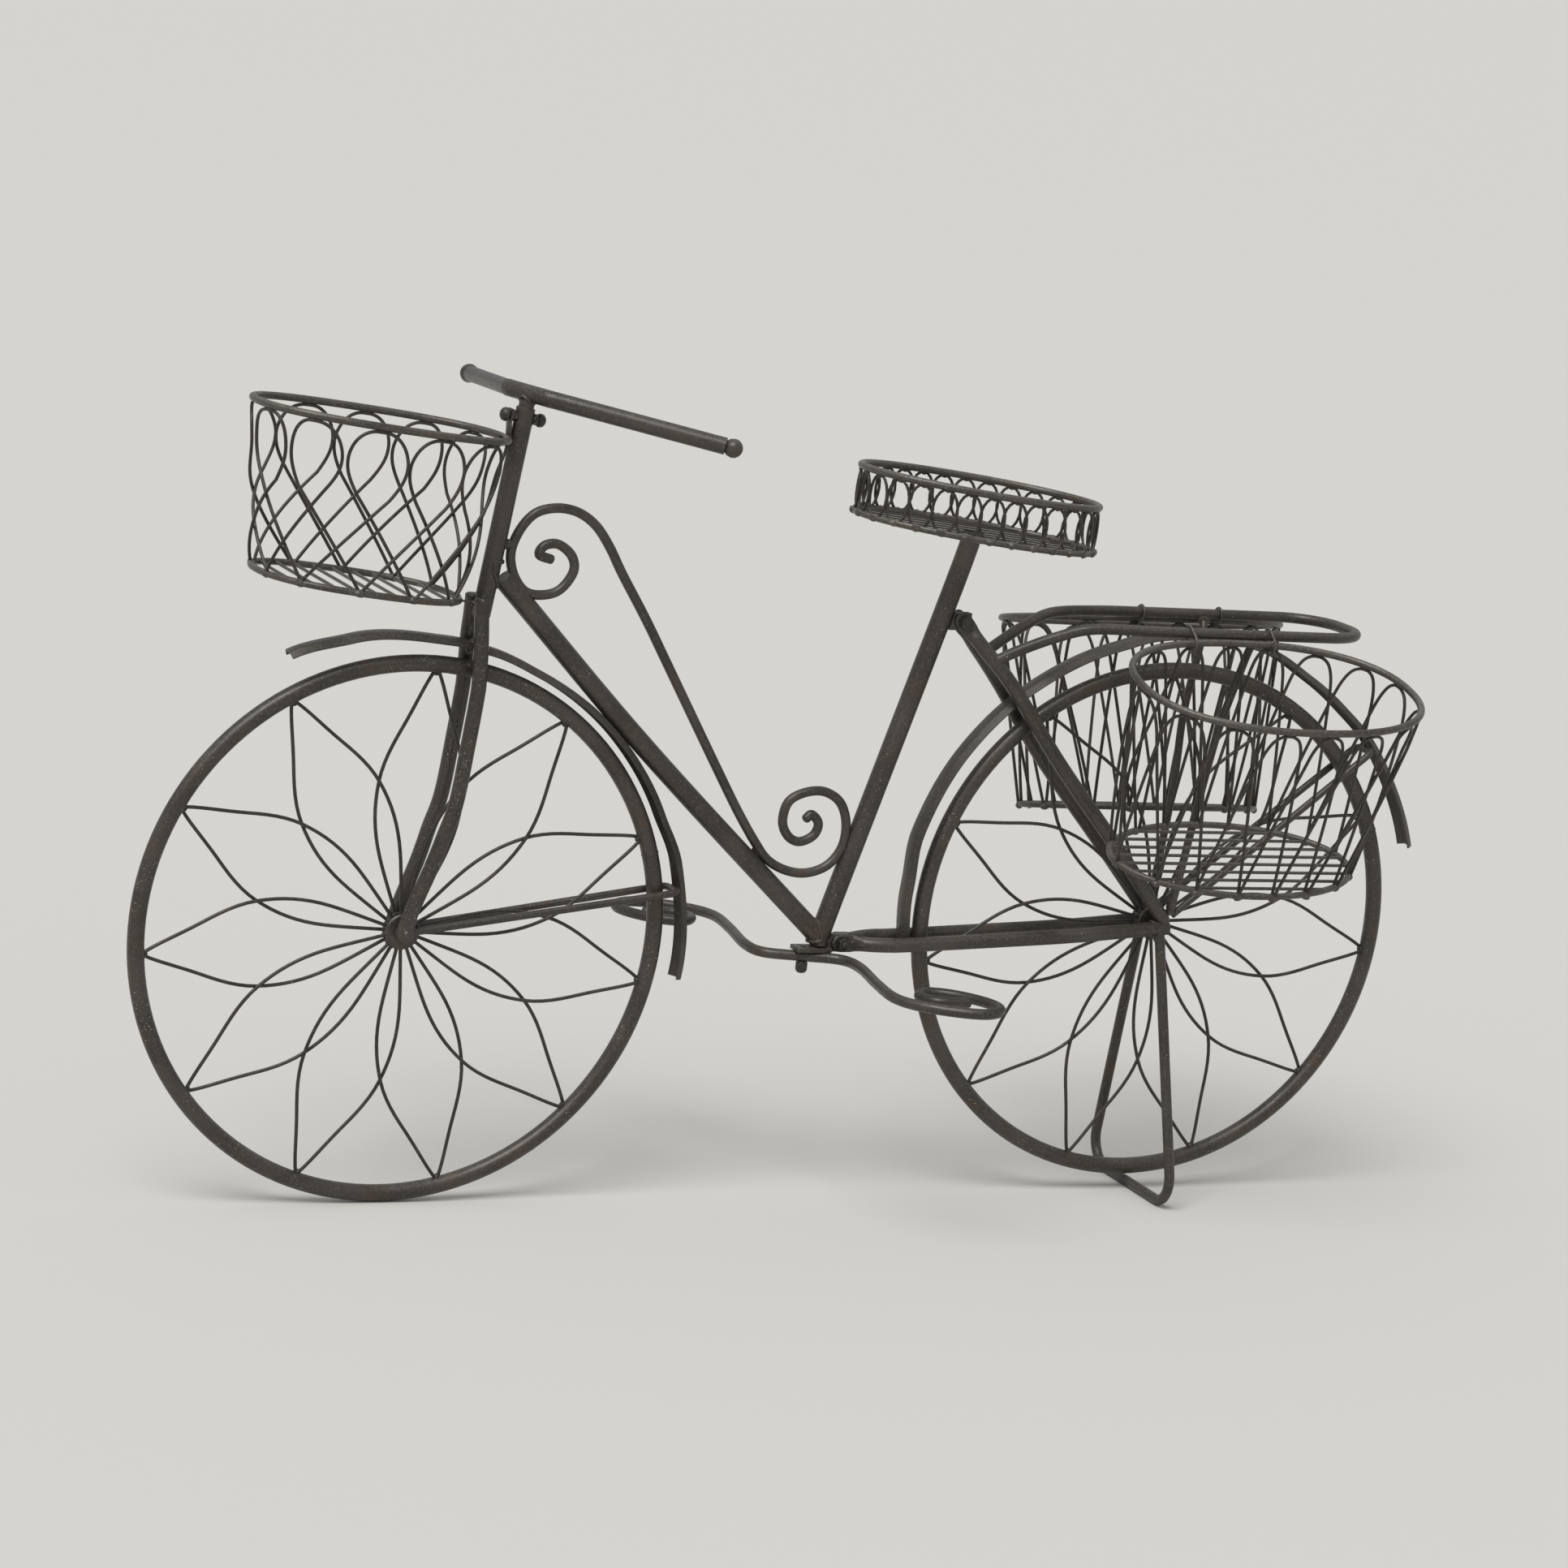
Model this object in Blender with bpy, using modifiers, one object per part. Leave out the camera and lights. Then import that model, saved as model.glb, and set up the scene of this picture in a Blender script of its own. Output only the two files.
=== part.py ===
import math

import bmesh
import bpy
from mathutils import Matrix, Vector

# A planter in the shape of a bicycle, bent and welded from steel tube and rod.
# +Z is up, the front of the bicycle points along -X, and the rider's left is -Y.
# The origin is on the ground, under the middle of the stand's cross bar.

# Wheels
wheelbase = 0.884
rim_radius = 0.285
rim_tube_radius = 0.009
hub_radius = 0.019
hub_half_width = 0.007
axle_radius = 0.005
spoke_radius = 0.0019
spoke_nodes = 11
front_spoke_start = math.radians(-11)
rear_spoke_start = math.radians(-6.5)
rear_raise = 0.017
foot_setback = 0.014

# Frame tubes and rods
head_tube_radius = 0.01
frame_tube_radius = 0.011
fork_blade_radius = 0.008
fork_half_width = 0.0235
fork_tip_half_thickness = 0.0035
stay_radius = 0.008
chainstay_half_width = 0.0215
seat_stay_half_width = 0.026
dropout_half_width = 0.021
scroll_rod_radius = 0.0052
scroll_peg_radius = 0.0048
stand_rod_radius = 0.0058
stand_half_width = 0.1
stand_bend_radius = 0.03
stand_flat = 0.0005
head_rake = math.radians(7.33)

# Handlebar
stem_radius = 0.0083
stem_depth = 0.08
handlebar_rise = 0.015
handlebar_tube_radius = 0.009
crossbar_half_length = 0.027
handlebar_arm_length = 0.196
handlebar_bend_radius = 0.022
handlebar_sweep = math.radians(53.5)
handlebar_droop = math.radians(2.2)
handlebar_turn = math.radians(28.8)
grip_ball_radius = 0.0103

# Fenders
fender_half_width = 0.013
fender_web_half_width = 0.0075
fender_depth = 0.007
fender_thickness = 0.002
fender_rod_radius = 0.004
fender_rod_bend_radius = 0.008
front_fender_radius = 0.313
rear_fender_radius = 0.327
front_rod_angle = math.radians(9)
rear_rod_angle = math.radians(39.3)
rear_rod_start = 0.018

# Baskets
basket_rod_radius = 0.004
wire_radius = 0.0018
front_basket_reach = 0.155
front_basket_drop = 0.019
front_basket_half_length = 0.1334
front_basket_half_width = 0.0843
front_base_half_length = 0.1078
front_base_half_width = 0.0812
front_basket_height = 0.1697
front_base_shift = 0.0033
front_basket_tilt = math.radians(5.42)
front_basket_bars = 9
saddle_half_length = 0.1374
saddle_half_width = 0.092
saddle_height = 0.0493
saddle_base_shift = 0.0025
saddle_tilt = math.radians(5.8)
saddle_advance = 0.0021
saddle_drop = 0.0026
saddle_loops = 28
saddle_bars = 10
rear_basket_half_length = 0.1655
rear_basket_half_width = 0.108
rear_base_half_length = 0.1443
rear_base_half_width = 0.0824
rear_basket_height = 0.2113
rear_basket_bars = 8
left_basket_setback = 0.0232
right_basket_setback = 0.0381
left_basket_tilt = math.radians(15.3)
right_basket_tilt = math.radians(11.5)
basket_hang = 0.0106
basket_hang_angle = math.radians(39)
hanger_wire_radius = 0.0014
front_basket_squareness = 2.4
saddle_squareness = 2.05
rear_top_squareness = 2.3
rear_base_squareness = 2
saddle_loop_share = 0.45
front_hanger_arch = 10
rear_hanger_arch = 12
right_arch_turn = -0.009

# Carrier
rail_rod_radius = 0.006
rail_half_width = 0.064
rail_overhang = 0.2
rail_corner_radius = 0.052
strut_radius = 0.0045

# Pedal bar
pedal_rod_radius = 0.0058
pedal_drop = 0.0255
pedal_reach = 0.245
pedal_bolt_radius = 0.003
pedal_nut_radius = 0.0065
pedal_nut_height = 0.013

# Lugs and fasteners
lug_plate_thickness = 0.005
lug_plate_half_width = 0.011
ear_half_thickness = 0.005
ear_reach = 0.018
tab_half_thickness = 0.0022
tab_half_width = 0.0096
tab_reach = 0.012
stay_bolt_radius = 0.004
stay_nut_radius = 0.0075
stay_nut_height = 0.0065
clamp_screw_radius = 0.003
clamp_screw_drop = 0.0105
clamp_head_radius = 0.0072
clamp_head_height = 0.0085
clamp_nut_radius = 0.006
clamp_nut_height = 0.005
strap_thickness = 0.002
strap_half_width = 0.007
strap_end = 0.007
basket_tab_radius = 0.003

# Gaps between neighbours
weld_gap = 0.0003
running_gap = 0.0004
merge_distance = 0.00001

rear_x = -foot_setback
front_x = rear_x - wheelbase
mid_x = (front_x + rear_x) / 2
front_z = rim_radius + rim_tube_radius
rear_z = front_z + rear_raise
pedal_bar_height = front_z - pedal_drop
front_axle = Vector((front_x, 0, front_z))
rear_axle = Vector((rear_x, 0, rear_z))

for thing in list(bpy.data.objects):
    bpy.data.objects.remove(thing, do_unlink=True)

planter = bpy.data.collections.new("bicycle_planter")
cutters = bpy.data.collections.new("cutters")
bpy.context.scene.collection.children.link(planter)
bpy.context.scene.collection.children.link(cutters)


def finish(name, colour, roughness, metallic):
    # One painted finish, as a Principled surface.
    made = bpy.data.materials.new(name)
    made.use_nodes = True
    surface = made.node_tree.nodes["Principled BSDF"]
    surface.inputs["Base Color"].default_value = (*colour, 1)
    surface.inputs["Roughness"].default_value = roughness
    surface.inputs["Metallic"].default_value = metallic
    made.diffuse_color = (*colour, 1)
    return made


bronze_paint = finish("bronze_paint", (0.075, 0.064, 0.055), 0.5, 0.35)
dark_wire = finish("dark_wire", (0.045, 0.04, 0.036), 0.5, 0.35)
bare_fastener = finish("painted_fastener", (0.055, 0.05, 0.047), 0.42, 0.5)


def show(name, mesh, paint):
    # Puts a finished mesh in the scene as one named piece.
    piece = bpy.data.objects.new(name, mesh)
    mesh.materials.clear()
    mesh.materials.append(paint)
    mesh.shade_smooth()
    mesh.set_sharp_from_angle(angle=math.radians(40))
    planter.objects.link(piece)
    return piece


def tube_mesh(points, radius, sides=8, closed=False):
    # The mesh of a round rod along a polyline, with its caps welded on.
    curve = bpy.data.curves.new("rod", "CURVE")
    curve.dimensions = "3D"
    curve.bevel_depth = radius
    curve.bevel_resolution = sides // 2 - 2
    curve.use_fill_caps = True
    spline = curve.splines.new("POLY")
    spline.points.add(len(points) - 1)
    for knot, place in zip(spline.points, points):
        knot.co = (*place, 1)
    spline.use_cyclic_u = closed
    holder = bpy.data.objects.new("rod", curve)
    bpy.context.scene.collection.objects.link(holder)
    graph = bpy.context.evaluated_depsgraph_get()
    mesh = bpy.data.meshes.new_from_object(holder.evaluated_get(graph))
    bpy.data.objects.remove(holder)
    shape = bmesh.new()
    shape.from_mesh(mesh)
    bmesh.ops.remove_doubles(shape, verts=shape.verts, dist=merge_distance)
    bmesh.ops.recalc_face_normals(shape, faces=shape.faces)
    shape.to_mesh(mesh)
    shape.free()
    return mesh


def bar_mesh(start, end, radius, sides=16):
    # A straight round bar from one point to another.
    shape = bmesh.new()
    along = end - start
    turn = along.to_track_quat("Z", "Y").to_matrix().to_4x4()
    place = Matrix.Translation((start + end) / 2) @ turn
    bmesh.ops.create_cone(
        shape, cap_ends=True, segments=sides, radius1=radius, radius2=radius,
        depth=along.length, matrix=place,
    )
    mesh = bpy.data.meshes.new("bar")
    shape.to_mesh(mesh)
    shape.free()
    return mesh


def box_mesh(low, high):
    # A box between two corners.
    shape = bmesh.new()
    size = high - low
    place = Matrix.Translation((low + high) / 2) @ Matrix.Diagonal((*size, 1))
    bmesh.ops.create_cube(shape, size=1, matrix=place)
    mesh = bpy.data.meshes.new("box")
    shape.to_mesh(mesh)
    shape.free()
    return mesh


def ball_mesh(centre, radius):
    shape = bmesh.new()
    bmesh.ops.create_uvsphere(
        shape, u_segments=14, v_segments=9, radius=radius, matrix=Matrix.Translation(centre)
    )
    mesh = bpy.data.meshes.new("ball")
    shape.to_mesh(mesh)
    shape.free()
    return mesh


def cut(piece, mesh):
    # Takes the cutter's shape out of a piece.
    tool = bpy.data.objects.new(piece.name + "_cutter", mesh)
    tool.hide_render = True
    tool.display_type = "WIRE"
    cutters.objects.link(tool)
    boolean = piece.modifiers.new("cut", "BOOLEAN")
    boolean.operation = "DIFFERENCE"
    boolean.object = tool


def fused(name, meshes, paint):
    # One body from several meshes that run into each other.
    group = bpy.data.collections.new(name + "_parts")
    bpy.context.scene.collection.children.link(group)
    parts = [bpy.data.objects.new(name + "_part", mesh) for mesh in meshes]
    bpy.context.scene.collection.objects.link(parts[0])
    for part in parts[1:]:
        group.objects.link(part)
    union = parts[0].modifiers.new("union", "BOOLEAN")
    union.operation = "UNION"
    union.operand_type = "COLLECTION"
    union.collection = group
    graph = bpy.context.evaluated_depsgraph_get()
    mesh = bpy.data.meshes.new_from_object(parts[0].evaluated_get(graph))
    for part in parts:
        bpy.data.objects.remove(part)
    bpy.data.collections.remove(group)
    return show(name, mesh, paint)


def smooth_path(points, steps):
    # Points along a curve that passes through every given point.
    ends = [2 * points[0] - points[1], *points, 2 * points[-1] - points[-2]]
    path = []
    for before, start, end, after in zip(ends, ends[1:], ends[2:], ends[3:]):
        for step in range(steps):
            t = step / steps
            path.append(
                0.5 * (
                    2 * start
                    + (end - before) * t
                    + (2 * before - 5 * start + 4 * end - after) * t**2
                    + (3 * start - before - 3 * end + after) * t**3
                )
            )
    return [*path, points[-1]]


def rounded_corner(before, corner, after, radius, steps=5):
    # Points of an arc that rounds one corner of a polyline.
    towards = (before - corner).normalized()
    away = (after - corner).normalized()
    half = towards.angle(away) / 2
    reach = radius / math.tan(half)
    bisector = (towards + away).normalized()
    centre = corner + bisector * (radius / math.sin(half))
    first = (corner + towards * reach - centre).normalized()
    last = (corner + away * reach - centre).normalized()
    return [centre + first.slerp(last, step / steps) * radius for step in range(steps + 1)]


def spot(share, side=0.0):
    # A place in the frame's middle plane, from shares of the wheelbase.
    return Vector((mid_x + share[0] * wheelbase, side, front_z + share[1] * wheelbase))


def clearance_tube(points, radius, gap=weld_gap):
    # A cutter that stays clear of a rod all round, with its flats outside the rod.
    sides = 16
    return tube_mesh(points, (radius + gap) / math.cos(math.pi / sides), sides)


def mirrored(points):
    return [Vector((point.x, -point.y, point.z)) for point in points]


# Routes of the frame's tubes: shares of the wheelbase, from its middle and from the front axle's height
head_top_share = (-0.4046, 0.6285)
head_foot_share = (-0.4369, 0.3794)
down_tube_shares = [(-0.414, 0.427), (-0.2145, 0.229), (0.042, -0.005)]
seat_tube_shares = [(0.041, -0.013), (0.0548, 0.04), (0.1725, 0.4397), (0.1905, 0.51)]
scroll_shares = [
    (-0.356, 0.451), (-0.371, 0.456), (-0.365, 0.467), (-0.348, 0.469), (-0.33, 0.456),
    (-0.326, 0.437), (-0.341, 0.415), (-0.363, 0.408), (-0.385, 0.412), (-0.401, 0.432),
    (-0.4065, 0.458), (-0.3975, 0.485), (-0.38, 0.505), (-0.354, 0.512), (-0.327, 0.508),
    (-0.303, 0.493), (-0.283, 0.468), (-0.264, 0.437), (-0.2285, 0.384), (-0.1992, 0.337),
    (-0.171, 0.2915), (-0.1385, 0.239), (-0.1055, 0.186), (-0.0815, 0.1485), (-0.057, 0.114),
    (-0.038, 0.092), (-0.012, 0.079), (0.016, 0.076), (0.043, 0.086), (0.06, 0.109),
    (0.062, 0.139), (0.051, 0.165), (0.028, 0.178), (0.002, 0.176), (-0.018, 0.164),
    (-0.023, 0.14), (-0.014, 0.122), (0.002, 0.115), (0.02, 0.123), (0.025, 0.138),
    (0.015, 0.149), (0.008, 0.144),
]
scroll_peg_share = (-0.4055, 0.466)
pedal_bolt_share = 0.0227
chain_bolt_share = (0.0701, -0.0107)
seat_bolt_share = (0.1878, 0.3948)

# Each row: share of the wheelbase along, share of it up, share of the widest half width
fork_shares = [
    (-0.4425, 0.405, 0.64), (-0.4422, 0.38, 0.72), (-0.4417, 0.352, 0.915), (-0.4408, 0.307, 1),
    (-0.4418, 0.285, 1), (-0.4468, 0.235, 1), (-0.4553, 0.162, 1), (-0.4672, 0.12, 1),
]
chainstay_shares = [
    (0.091, -0.0102, 0.5), (0.107, -0.0096, 0.8), (0.127, -0.009, 0.99), (0.155, -0.0082, 1),
    (0.2828, -0.0012, 1.02), (0.3869, 0.0052, 1), (0.4932, 0.0147, 0.98), (0.5115, 0.0158, 0.98),
]
seat_stay_shares = [
    (0.2149, 0.3643, 0.46), (0.2364, 0.3416, 0.67), (0.266, 0.307, 0.83), (0.3303, 0.224, 1),
    (0.4253, 0.1176, 0.98), (0.4932, 0.0385, 0.85), (0.505, 0.023, 0.81),
]
rail_front_shares = [
    (0.2319, 0.3507, 0.28), (0.2545, 0.3643, 0.38), (0.2964, 0.3852, 0.58), (0.3394, 0.3998, 0.78),
]
rail_side_shares = [(0.41, 0.402, 0.96), (0.47, 0.402, 1)]
strut_shares = [
    (0.5611, 0.398, 0.97), (0.5577, 0.38, 0.84), (0.5486, 0.336, 0.75), (0.5362, 0.2749, 0.65),
    (0.5283, 0.1878, 0.49), (0.5158, 0.0781, 0.41), (0.511, 0.034, 0.35),
]

# Fender outlines: angle round the axle in degrees, and share of the fender's radius
front_fender_shares = [
    (117, 1.054), (105, 1.035), (85, 1.006), (77, 0.997), (65, 0.986), (43, 0.99),
    (25, 0.994), (14, 1.013), (-9, 1.032),
]
rear_fender_shares = [
    (186, 0.947), (173, 0.957), (162, 0.979), (143, 0.985), (124, 0.988), (106, 0.994),
    (96, 1.006), (70, 1.015), (60, 1.003), (50, 1.003), (40, 1.012), (33, 1.012), (16, 1.018),
]

# One spoke: share of the way from hub to rim, and share of the angle to the next node
spoke_shares = [(1, 0), (0.8, 0.19), (0.56, 0.5), (0.3, 0.71), (0, 0.75)]

# One side of a basket wire: shares of the spacing of the wires and of the basket's height
teardrop_shares = [(0, 0), (0.3, 0.045), (0.46, 0.17), (0.42, 0.3), (0, 0.53), (-1, 1)]
arch_shares = [(0, 0), (0.26, 0.03), (0.43, 0.16), (1, 1)]

# Where each wire's top touches the top rod, as shares of the way round from the basket's +X end
front_loop_shares = [
    0.071, 0.142, 0.232, 0.321, 0.433, 0.5454, 0.6158, 0.7146, 0.8087, 0.8954, 0.985,
]
rear_arch_shares = [
    0.0488, 0.1037, 0.1717, 0.2325, 0.2908, 0.3563, 0.4163, 0.4879,
    0.555, 0.6317, 0.6887, 0.7488, 0.7992, 0.8621, 0.9233, 0.9733,
]

# One half of the pedal bar, as shares of its reach from the bolt
pedal_shares = [
    (0, 0), (0.159, -0.069), (0.188, -0.212), (0.143, -0.494), (0.122, -0.727), (0.184, -0.865),
    (0.327, -0.971), (0.441, -1), (0.52, -0.95), (0.54, -0.865), (0.502, -0.767), (0.42, -0.673),
    (0.318, -0.633), (0.253, -0.7), (0.3, -0.79), (0.433, -0.808),
]

head_top = spot(head_top_share)
head_foot = spot(head_foot_share)
head_axis = Vector((math.sin(head_rake), 0, math.cos(head_rake)))
head_forward = Vector((-math.cos(head_rake), 0, math.sin(head_rake)))
head_line = [head_foot - head_axis * head_tube_radius, head_top]
seat_tube_path = smooth_path([spot(share) for share in seat_tube_shares], 3)
seat_line = [2 * seat_tube_path[0] - seat_tube_path[1], *seat_tube_path]
down_tube_path = smooth_path([spot(share) for share in down_tube_shares], 4)
scroll_path = [spot(share) for share in scroll_shares]
chain_bolt = spot(chain_bolt_share)
seat_bolt = spot(seat_bolt_share)
tab_side = ear_half_thickness + weld_gap + tab_half_thickness
stack_side = tab_side + tab_half_thickness + weld_gap
pedal_bolt_x = spot((pedal_bolt_share, 0)).x
lug_plate_low = pedal_bar_height + pedal_rod_radius + weld_gap
lug_plate_high = lug_plate_low + lug_plate_thickness


def side_path(shares, half_width):
    # A route on the right side of the bicycle, from shares of the wheelbase and of a half width.
    return [spot(share[:2], share[2] * half_width) for share in shares]


def polar(centre, radius, angle, side=0.0):
    # A point round an axle.
    return centre + Vector((radius * math.cos(angle), side, radius * math.sin(angle)))


tip_side = hub_half_width + running_gap + 2 * (fender_rod_radius + weld_gap) + fork_tip_half_thickness
tip_length = 2 * fork_blade_radius
fork_path = [
    *side_path(fork_shares, fork_half_width),
    spot((-0.4785, 0.0815), (fork_half_width + tip_side) / 2),
    front_axle + Vector((0, tip_side, tip_length)),
    front_axle + Vector((0, tip_side, -tip_length / 2)),
]
chainstay_path = [
    chain_bolt + Vector((-tab_reach, tab_side, 0)),
    chain_bolt + Vector((tab_reach, tab_side, 0)),
    *side_path(chainstay_shares, chainstay_half_width),
]
seat_stay_start = seat_bolt + Vector((0, tab_side, 0))
seat_stay_way = (spot(seat_stay_shares[0][:2]) - seat_bolt).normalized()
seat_stay_path = [
    seat_stay_start - seat_stay_way * tab_reach,
    seat_stay_start + seat_stay_way * tab_reach,
    *side_path(seat_stay_shares, seat_stay_half_width),
]
rail_height = spot(rail_side_shares[0]).z
rail_back_x = rear_x + rail_overhang
rail_straight = side_path(rail_side_shares, rail_half_width)
rail_corner = Vector((rail_back_x, rail_half_width, rail_height))
rail_middle = Vector((rail_back_x, 0, rail_height))
rail_half_path = [
    *side_path(rail_front_shares, rail_half_width),
    *rail_straight,
    *rounded_corner(rail_straight[-1], rail_corner, rail_middle, rail_corner_radius),
]
strut_path = side_path(strut_shares, rail_half_width)


def both_sides(name, path, build):
    # Builds the left and the right piece of a pair from the right one's route.
    return [build("left_" + name, mirrored(path)), build("right_" + name, path)]


def pressed(mesh, path, thickness_shares, width_shares):
    # Presses the first rings of a rod flat across the bicycle.
    count = len(thickness_shares)
    for corner in mesh.vertices:
        index = min(range(len(path)), key=lambda at: (path[at] - corner.co).length)
        if index < count:
            offset = corner.co - path[index]
            offset.y *= thickness_shares[index]
            offset.x *= width_shares[index]
            offset.z *= width_shares[index]
            corner.co = path[index] + offset
    return mesh


def front_frame():
    # Head tube with the bore that the stem turns in
    head = show("head_tube", bar_mesh(head_foot, head_top, head_tube_radius, 24), bronze_paint)
    bore_foot = head_top - head_axis * (stem_depth + running_gap)
    bore_top = head_top + head_axis * weld_gap
    cut(head, bar_mesh(bore_foot, bore_top, stem_radius + running_gap, 20))
    screw_reach = head_forward * (2 * head_tube_radius)
    screw_hole = clamp_screw_radius + running_gap
    screw_at = head_top - head_axis * clamp_screw_drop
    cut(head, bar_mesh(screw_at - screw_reach, screw_at + screw_reach, screw_hole, 10))

    # Seat tube and down tube, cut level over the bottom lug
    seat = show("seat_tube", tube_mesh(seat_tube_path, frame_tube_radius, 10), bronze_paint)
    down = show("down_tube", tube_mesh(down_tube_path, frame_tube_radius, 10), bronze_paint)
    cut(down, clearance_tube(head_line, head_tube_radius))
    cut(down, clearance_tube(seat_line, frame_tube_radius))
    floor_low = Vector((mid_x - wheelbase / 4, -rim_radius, 0))
    floor_high = Vector((mid_x + wheelbase / 4, rim_radius, lug_plate_high + weld_gap))
    for tube in (seat, down):
        cut(tube, box_mesh(floor_low, floor_high))
    seat_cap = saddle.base - saddle.up * (wire_radius + weld_gap)
    cut(seat, bar_mesh(seat_cap, seat_cap + saddle.up * saddle_height, saddle_half_width))

    # Scroll bar, notched where it meets the tubes, with a peg across to the head tube
    peg_end = spot(scroll_peg_share)
    peg = bar_mesh(peg_end + head_forward * (2 * head_tube_radius), peg_end, scroll_peg_radius, 10)
    rod = tube_mesh(scroll_path, scroll_rod_radius, 6)
    scroll = fused("scroll_bar", [rod, peg], bronze_paint)
    cut(scroll, clearance_tube(head_line, head_tube_radius))
    cut(scroll, clearance_tube(down_tube_path, frame_tube_radius))
    cut(scroll, clearance_tube(seat_tube_path, frame_tube_radius))


def lugs():
    # Plate under the foot of the tubes, with an ear behind for the chain stays
    across = Vector((0, rim_radius, 0))
    hole = stay_bolt_radius + running_gap
    ear_front = chain_bolt.x - tab_reach
    plate = box_mesh(
        Vector((pedal_bolt_x - lug_plate_half_width, -lug_plate_half_width, lug_plate_low)),
        Vector((ear_front - weld_gap, lug_plate_half_width, lug_plate_high)),
    )
    ear = box_mesh(
        Vector((ear_front - lug_plate_half_width, -ear_half_thickness, lug_plate_low)),
        Vector((chain_bolt.x + tab_half_width, ear_half_thickness, chain_bolt.z + tab_half_width)),
    )
    lug = fused("bottom_lug", [plate, ear], bronze_paint)
    cut(lug, clearance_tube(seat_tube_path, frame_tube_radius))
    cut(lug, bar_mesh(chain_bolt - across, chain_bolt + across, hole))
    bolt_foot = Vector((pedal_bolt_x, 0, 0))
    bolt_head = Vector((pedal_bolt_x, 0, front_z))
    cut(lug, bar_mesh(bolt_foot, bolt_head, pedal_bolt_radius + running_gap))

    # Ear behind the seat tube for the seat stays
    low = seat_bolt - Vector((ear_reach, ear_half_thickness, tab_half_width))
    high = seat_bolt + Vector((tab_half_width, ear_half_thickness, tab_half_width))
    top_ear = show("seat_stay_lug", box_mesh(low, high), bronze_paint)
    cut(top_ear, clearance_tube(seat_tube_path, frame_tube_radius))
    cut(top_ear, bar_mesh(seat_bolt - across, seat_bolt + across, hole))

    # One bolt and one nut through each ear and its two tabs
    for name, centre in (("chainstay", chain_bolt), ("seatstay", seat_bolt)):
        side = Vector((0, 1, 0))
        head_low = centre + side * stack_side
        nut_low = centre - side * stack_side
        nut_high = nut_low - side * stay_nut_height
        head = bar_mesh(head_low, head_low + side * stay_nut_height, stay_nut_radius, 6)
        shank_end = nut_high - side * stay_bolt_radius / 2
        shank = bar_mesh(shank_end, head_low + side * weld_gap, stay_bolt_radius)
        fused(name + "_bolt", [head, shank], bare_fastener)
        nut = show(name + "_nut", bar_mesh(nut_high, nut_low, stay_nut_radius, 6), bare_fastener)
        cut(nut, bar_mesh(centre - across, centre + across, hole))


def fork():
    # Two blades welded to the sides of the head tube, with flat tips on the front axle
    backwards = fork_path[::-1]
    tip_share = fork_tip_half_thickness / fork_blade_radius

    def blade(name, path):
        mesh = tube_mesh(path, fork_blade_radius, 10)
        pressed(mesh, path, [tip_share, tip_share], [1, 1])
        piece = show(name, mesh, bronze_paint)
        cut(piece, clearance_tube(head_line, head_tube_radius))

    both_sides("fork_blade", backwards, blade)
    reach = Vector((0, tip_side - fork_tip_half_thickness - weld_gap, 0))
    show("front_axle", bar_mesh(front_axle - reach, front_axle + reach, axle_radius), bare_fastener)


def rear_frame():
    across = Vector((0, rim_radius, 0))
    hole = stay_bolt_radius + running_gap
    thin = tab_half_thickness / stay_radius
    wide = tab_half_width / stay_radius
    thickness_shares = [thin, thin, (1 + 2 * thin) / 3]
    width_shares = [wide, wide, 1]

    def chainstay(name, path):
        mesh = tube_mesh(path, stay_radius, 10)
        piece = show(name, pressed(mesh, path, thickness_shares, width_shares), bronze_paint)
        cut(piece, bar_mesh(chain_bolt - across, chain_bolt + across, hole))

    def seat_stay(name, path):
        mesh = tube_mesh(path, stay_radius, 10)
        piece = show(name, pressed(mesh, path, thickness_shares, width_shares), bronze_paint)
        cut(piece, bar_mesh(seat_bolt - across, seat_bolt + across, hole))
        for stay in (chainstay_path, mirrored(chainstay_path)):
            cut(piece, clearance_tube(stay[-4:], stay_radius))

    both_sides("chainstay", chainstay_path, chainstay)
    both_sides("seatstay", seat_stay_path, seat_stay)
    reach = Vector((0, dropout_half_width - stay_radius - weld_gap, 0))
    show("rear_axle", bar_mesh(rear_axle - reach, rear_axle + reach, axle_radius), bare_fastener)

    # Carrier rail, one rod bent into a U
    rail_path = [*rail_half_path, *mirrored(rail_half_path)[::-1]]
    rail = show("carrier_rail", tube_mesh(rail_path, rail_rod_radius), bronze_paint)
    for path in (seat_stay_path, mirrored(seat_stay_path)):
        cut(rail, clearance_tube(path[1:-2], stay_radius))

    def strut(name, path):
        piece = show(name, tube_mesh(path, strut_radius), bronze_paint)
        for half in (rail_half_path, mirrored(rail_half_path)):
            cut(piece, clearance_tube(half[3:], rail_rod_radius))
        for stays in (chainstay_path, seat_stay_path):
            for stay in (stays, mirrored(stays)):
                cut(piece, clearance_tube(stay[-3:], stay_radius))

    both_sides("strut", strut_path, strut)


def stand():
    # One rod: two legs down from the chain stays and a cross bar on the ground
    bar_height = stand_rod_radius - stand_flat
    top = Vector((rear_x, dropout_half_width, chainstay_path[-1].z))
    corner = Vector((0, stand_half_width, bar_height))
    middle = Vector((0, 0, bar_height))
    half = [top, *rounded_corner(top, corner, middle, stand_bend_radius), middle]
    path = [*half, *mirrored(half)[-2::-1]]
    piece = show("kickstand", tube_mesh(path, stand_rod_radius), bronze_paint)
    for stay in (chainstay_path, mirrored(chainstay_path)):
        cut(piece, clearance_tube(stay[-3:], stay_radius))
    below = box_mesh(
        Vector((-rim_radius, -rim_radius, -stand_bend_radius)), Vector((rim_radius, rim_radius, 0))
    )
    cut(piece, below)


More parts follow.
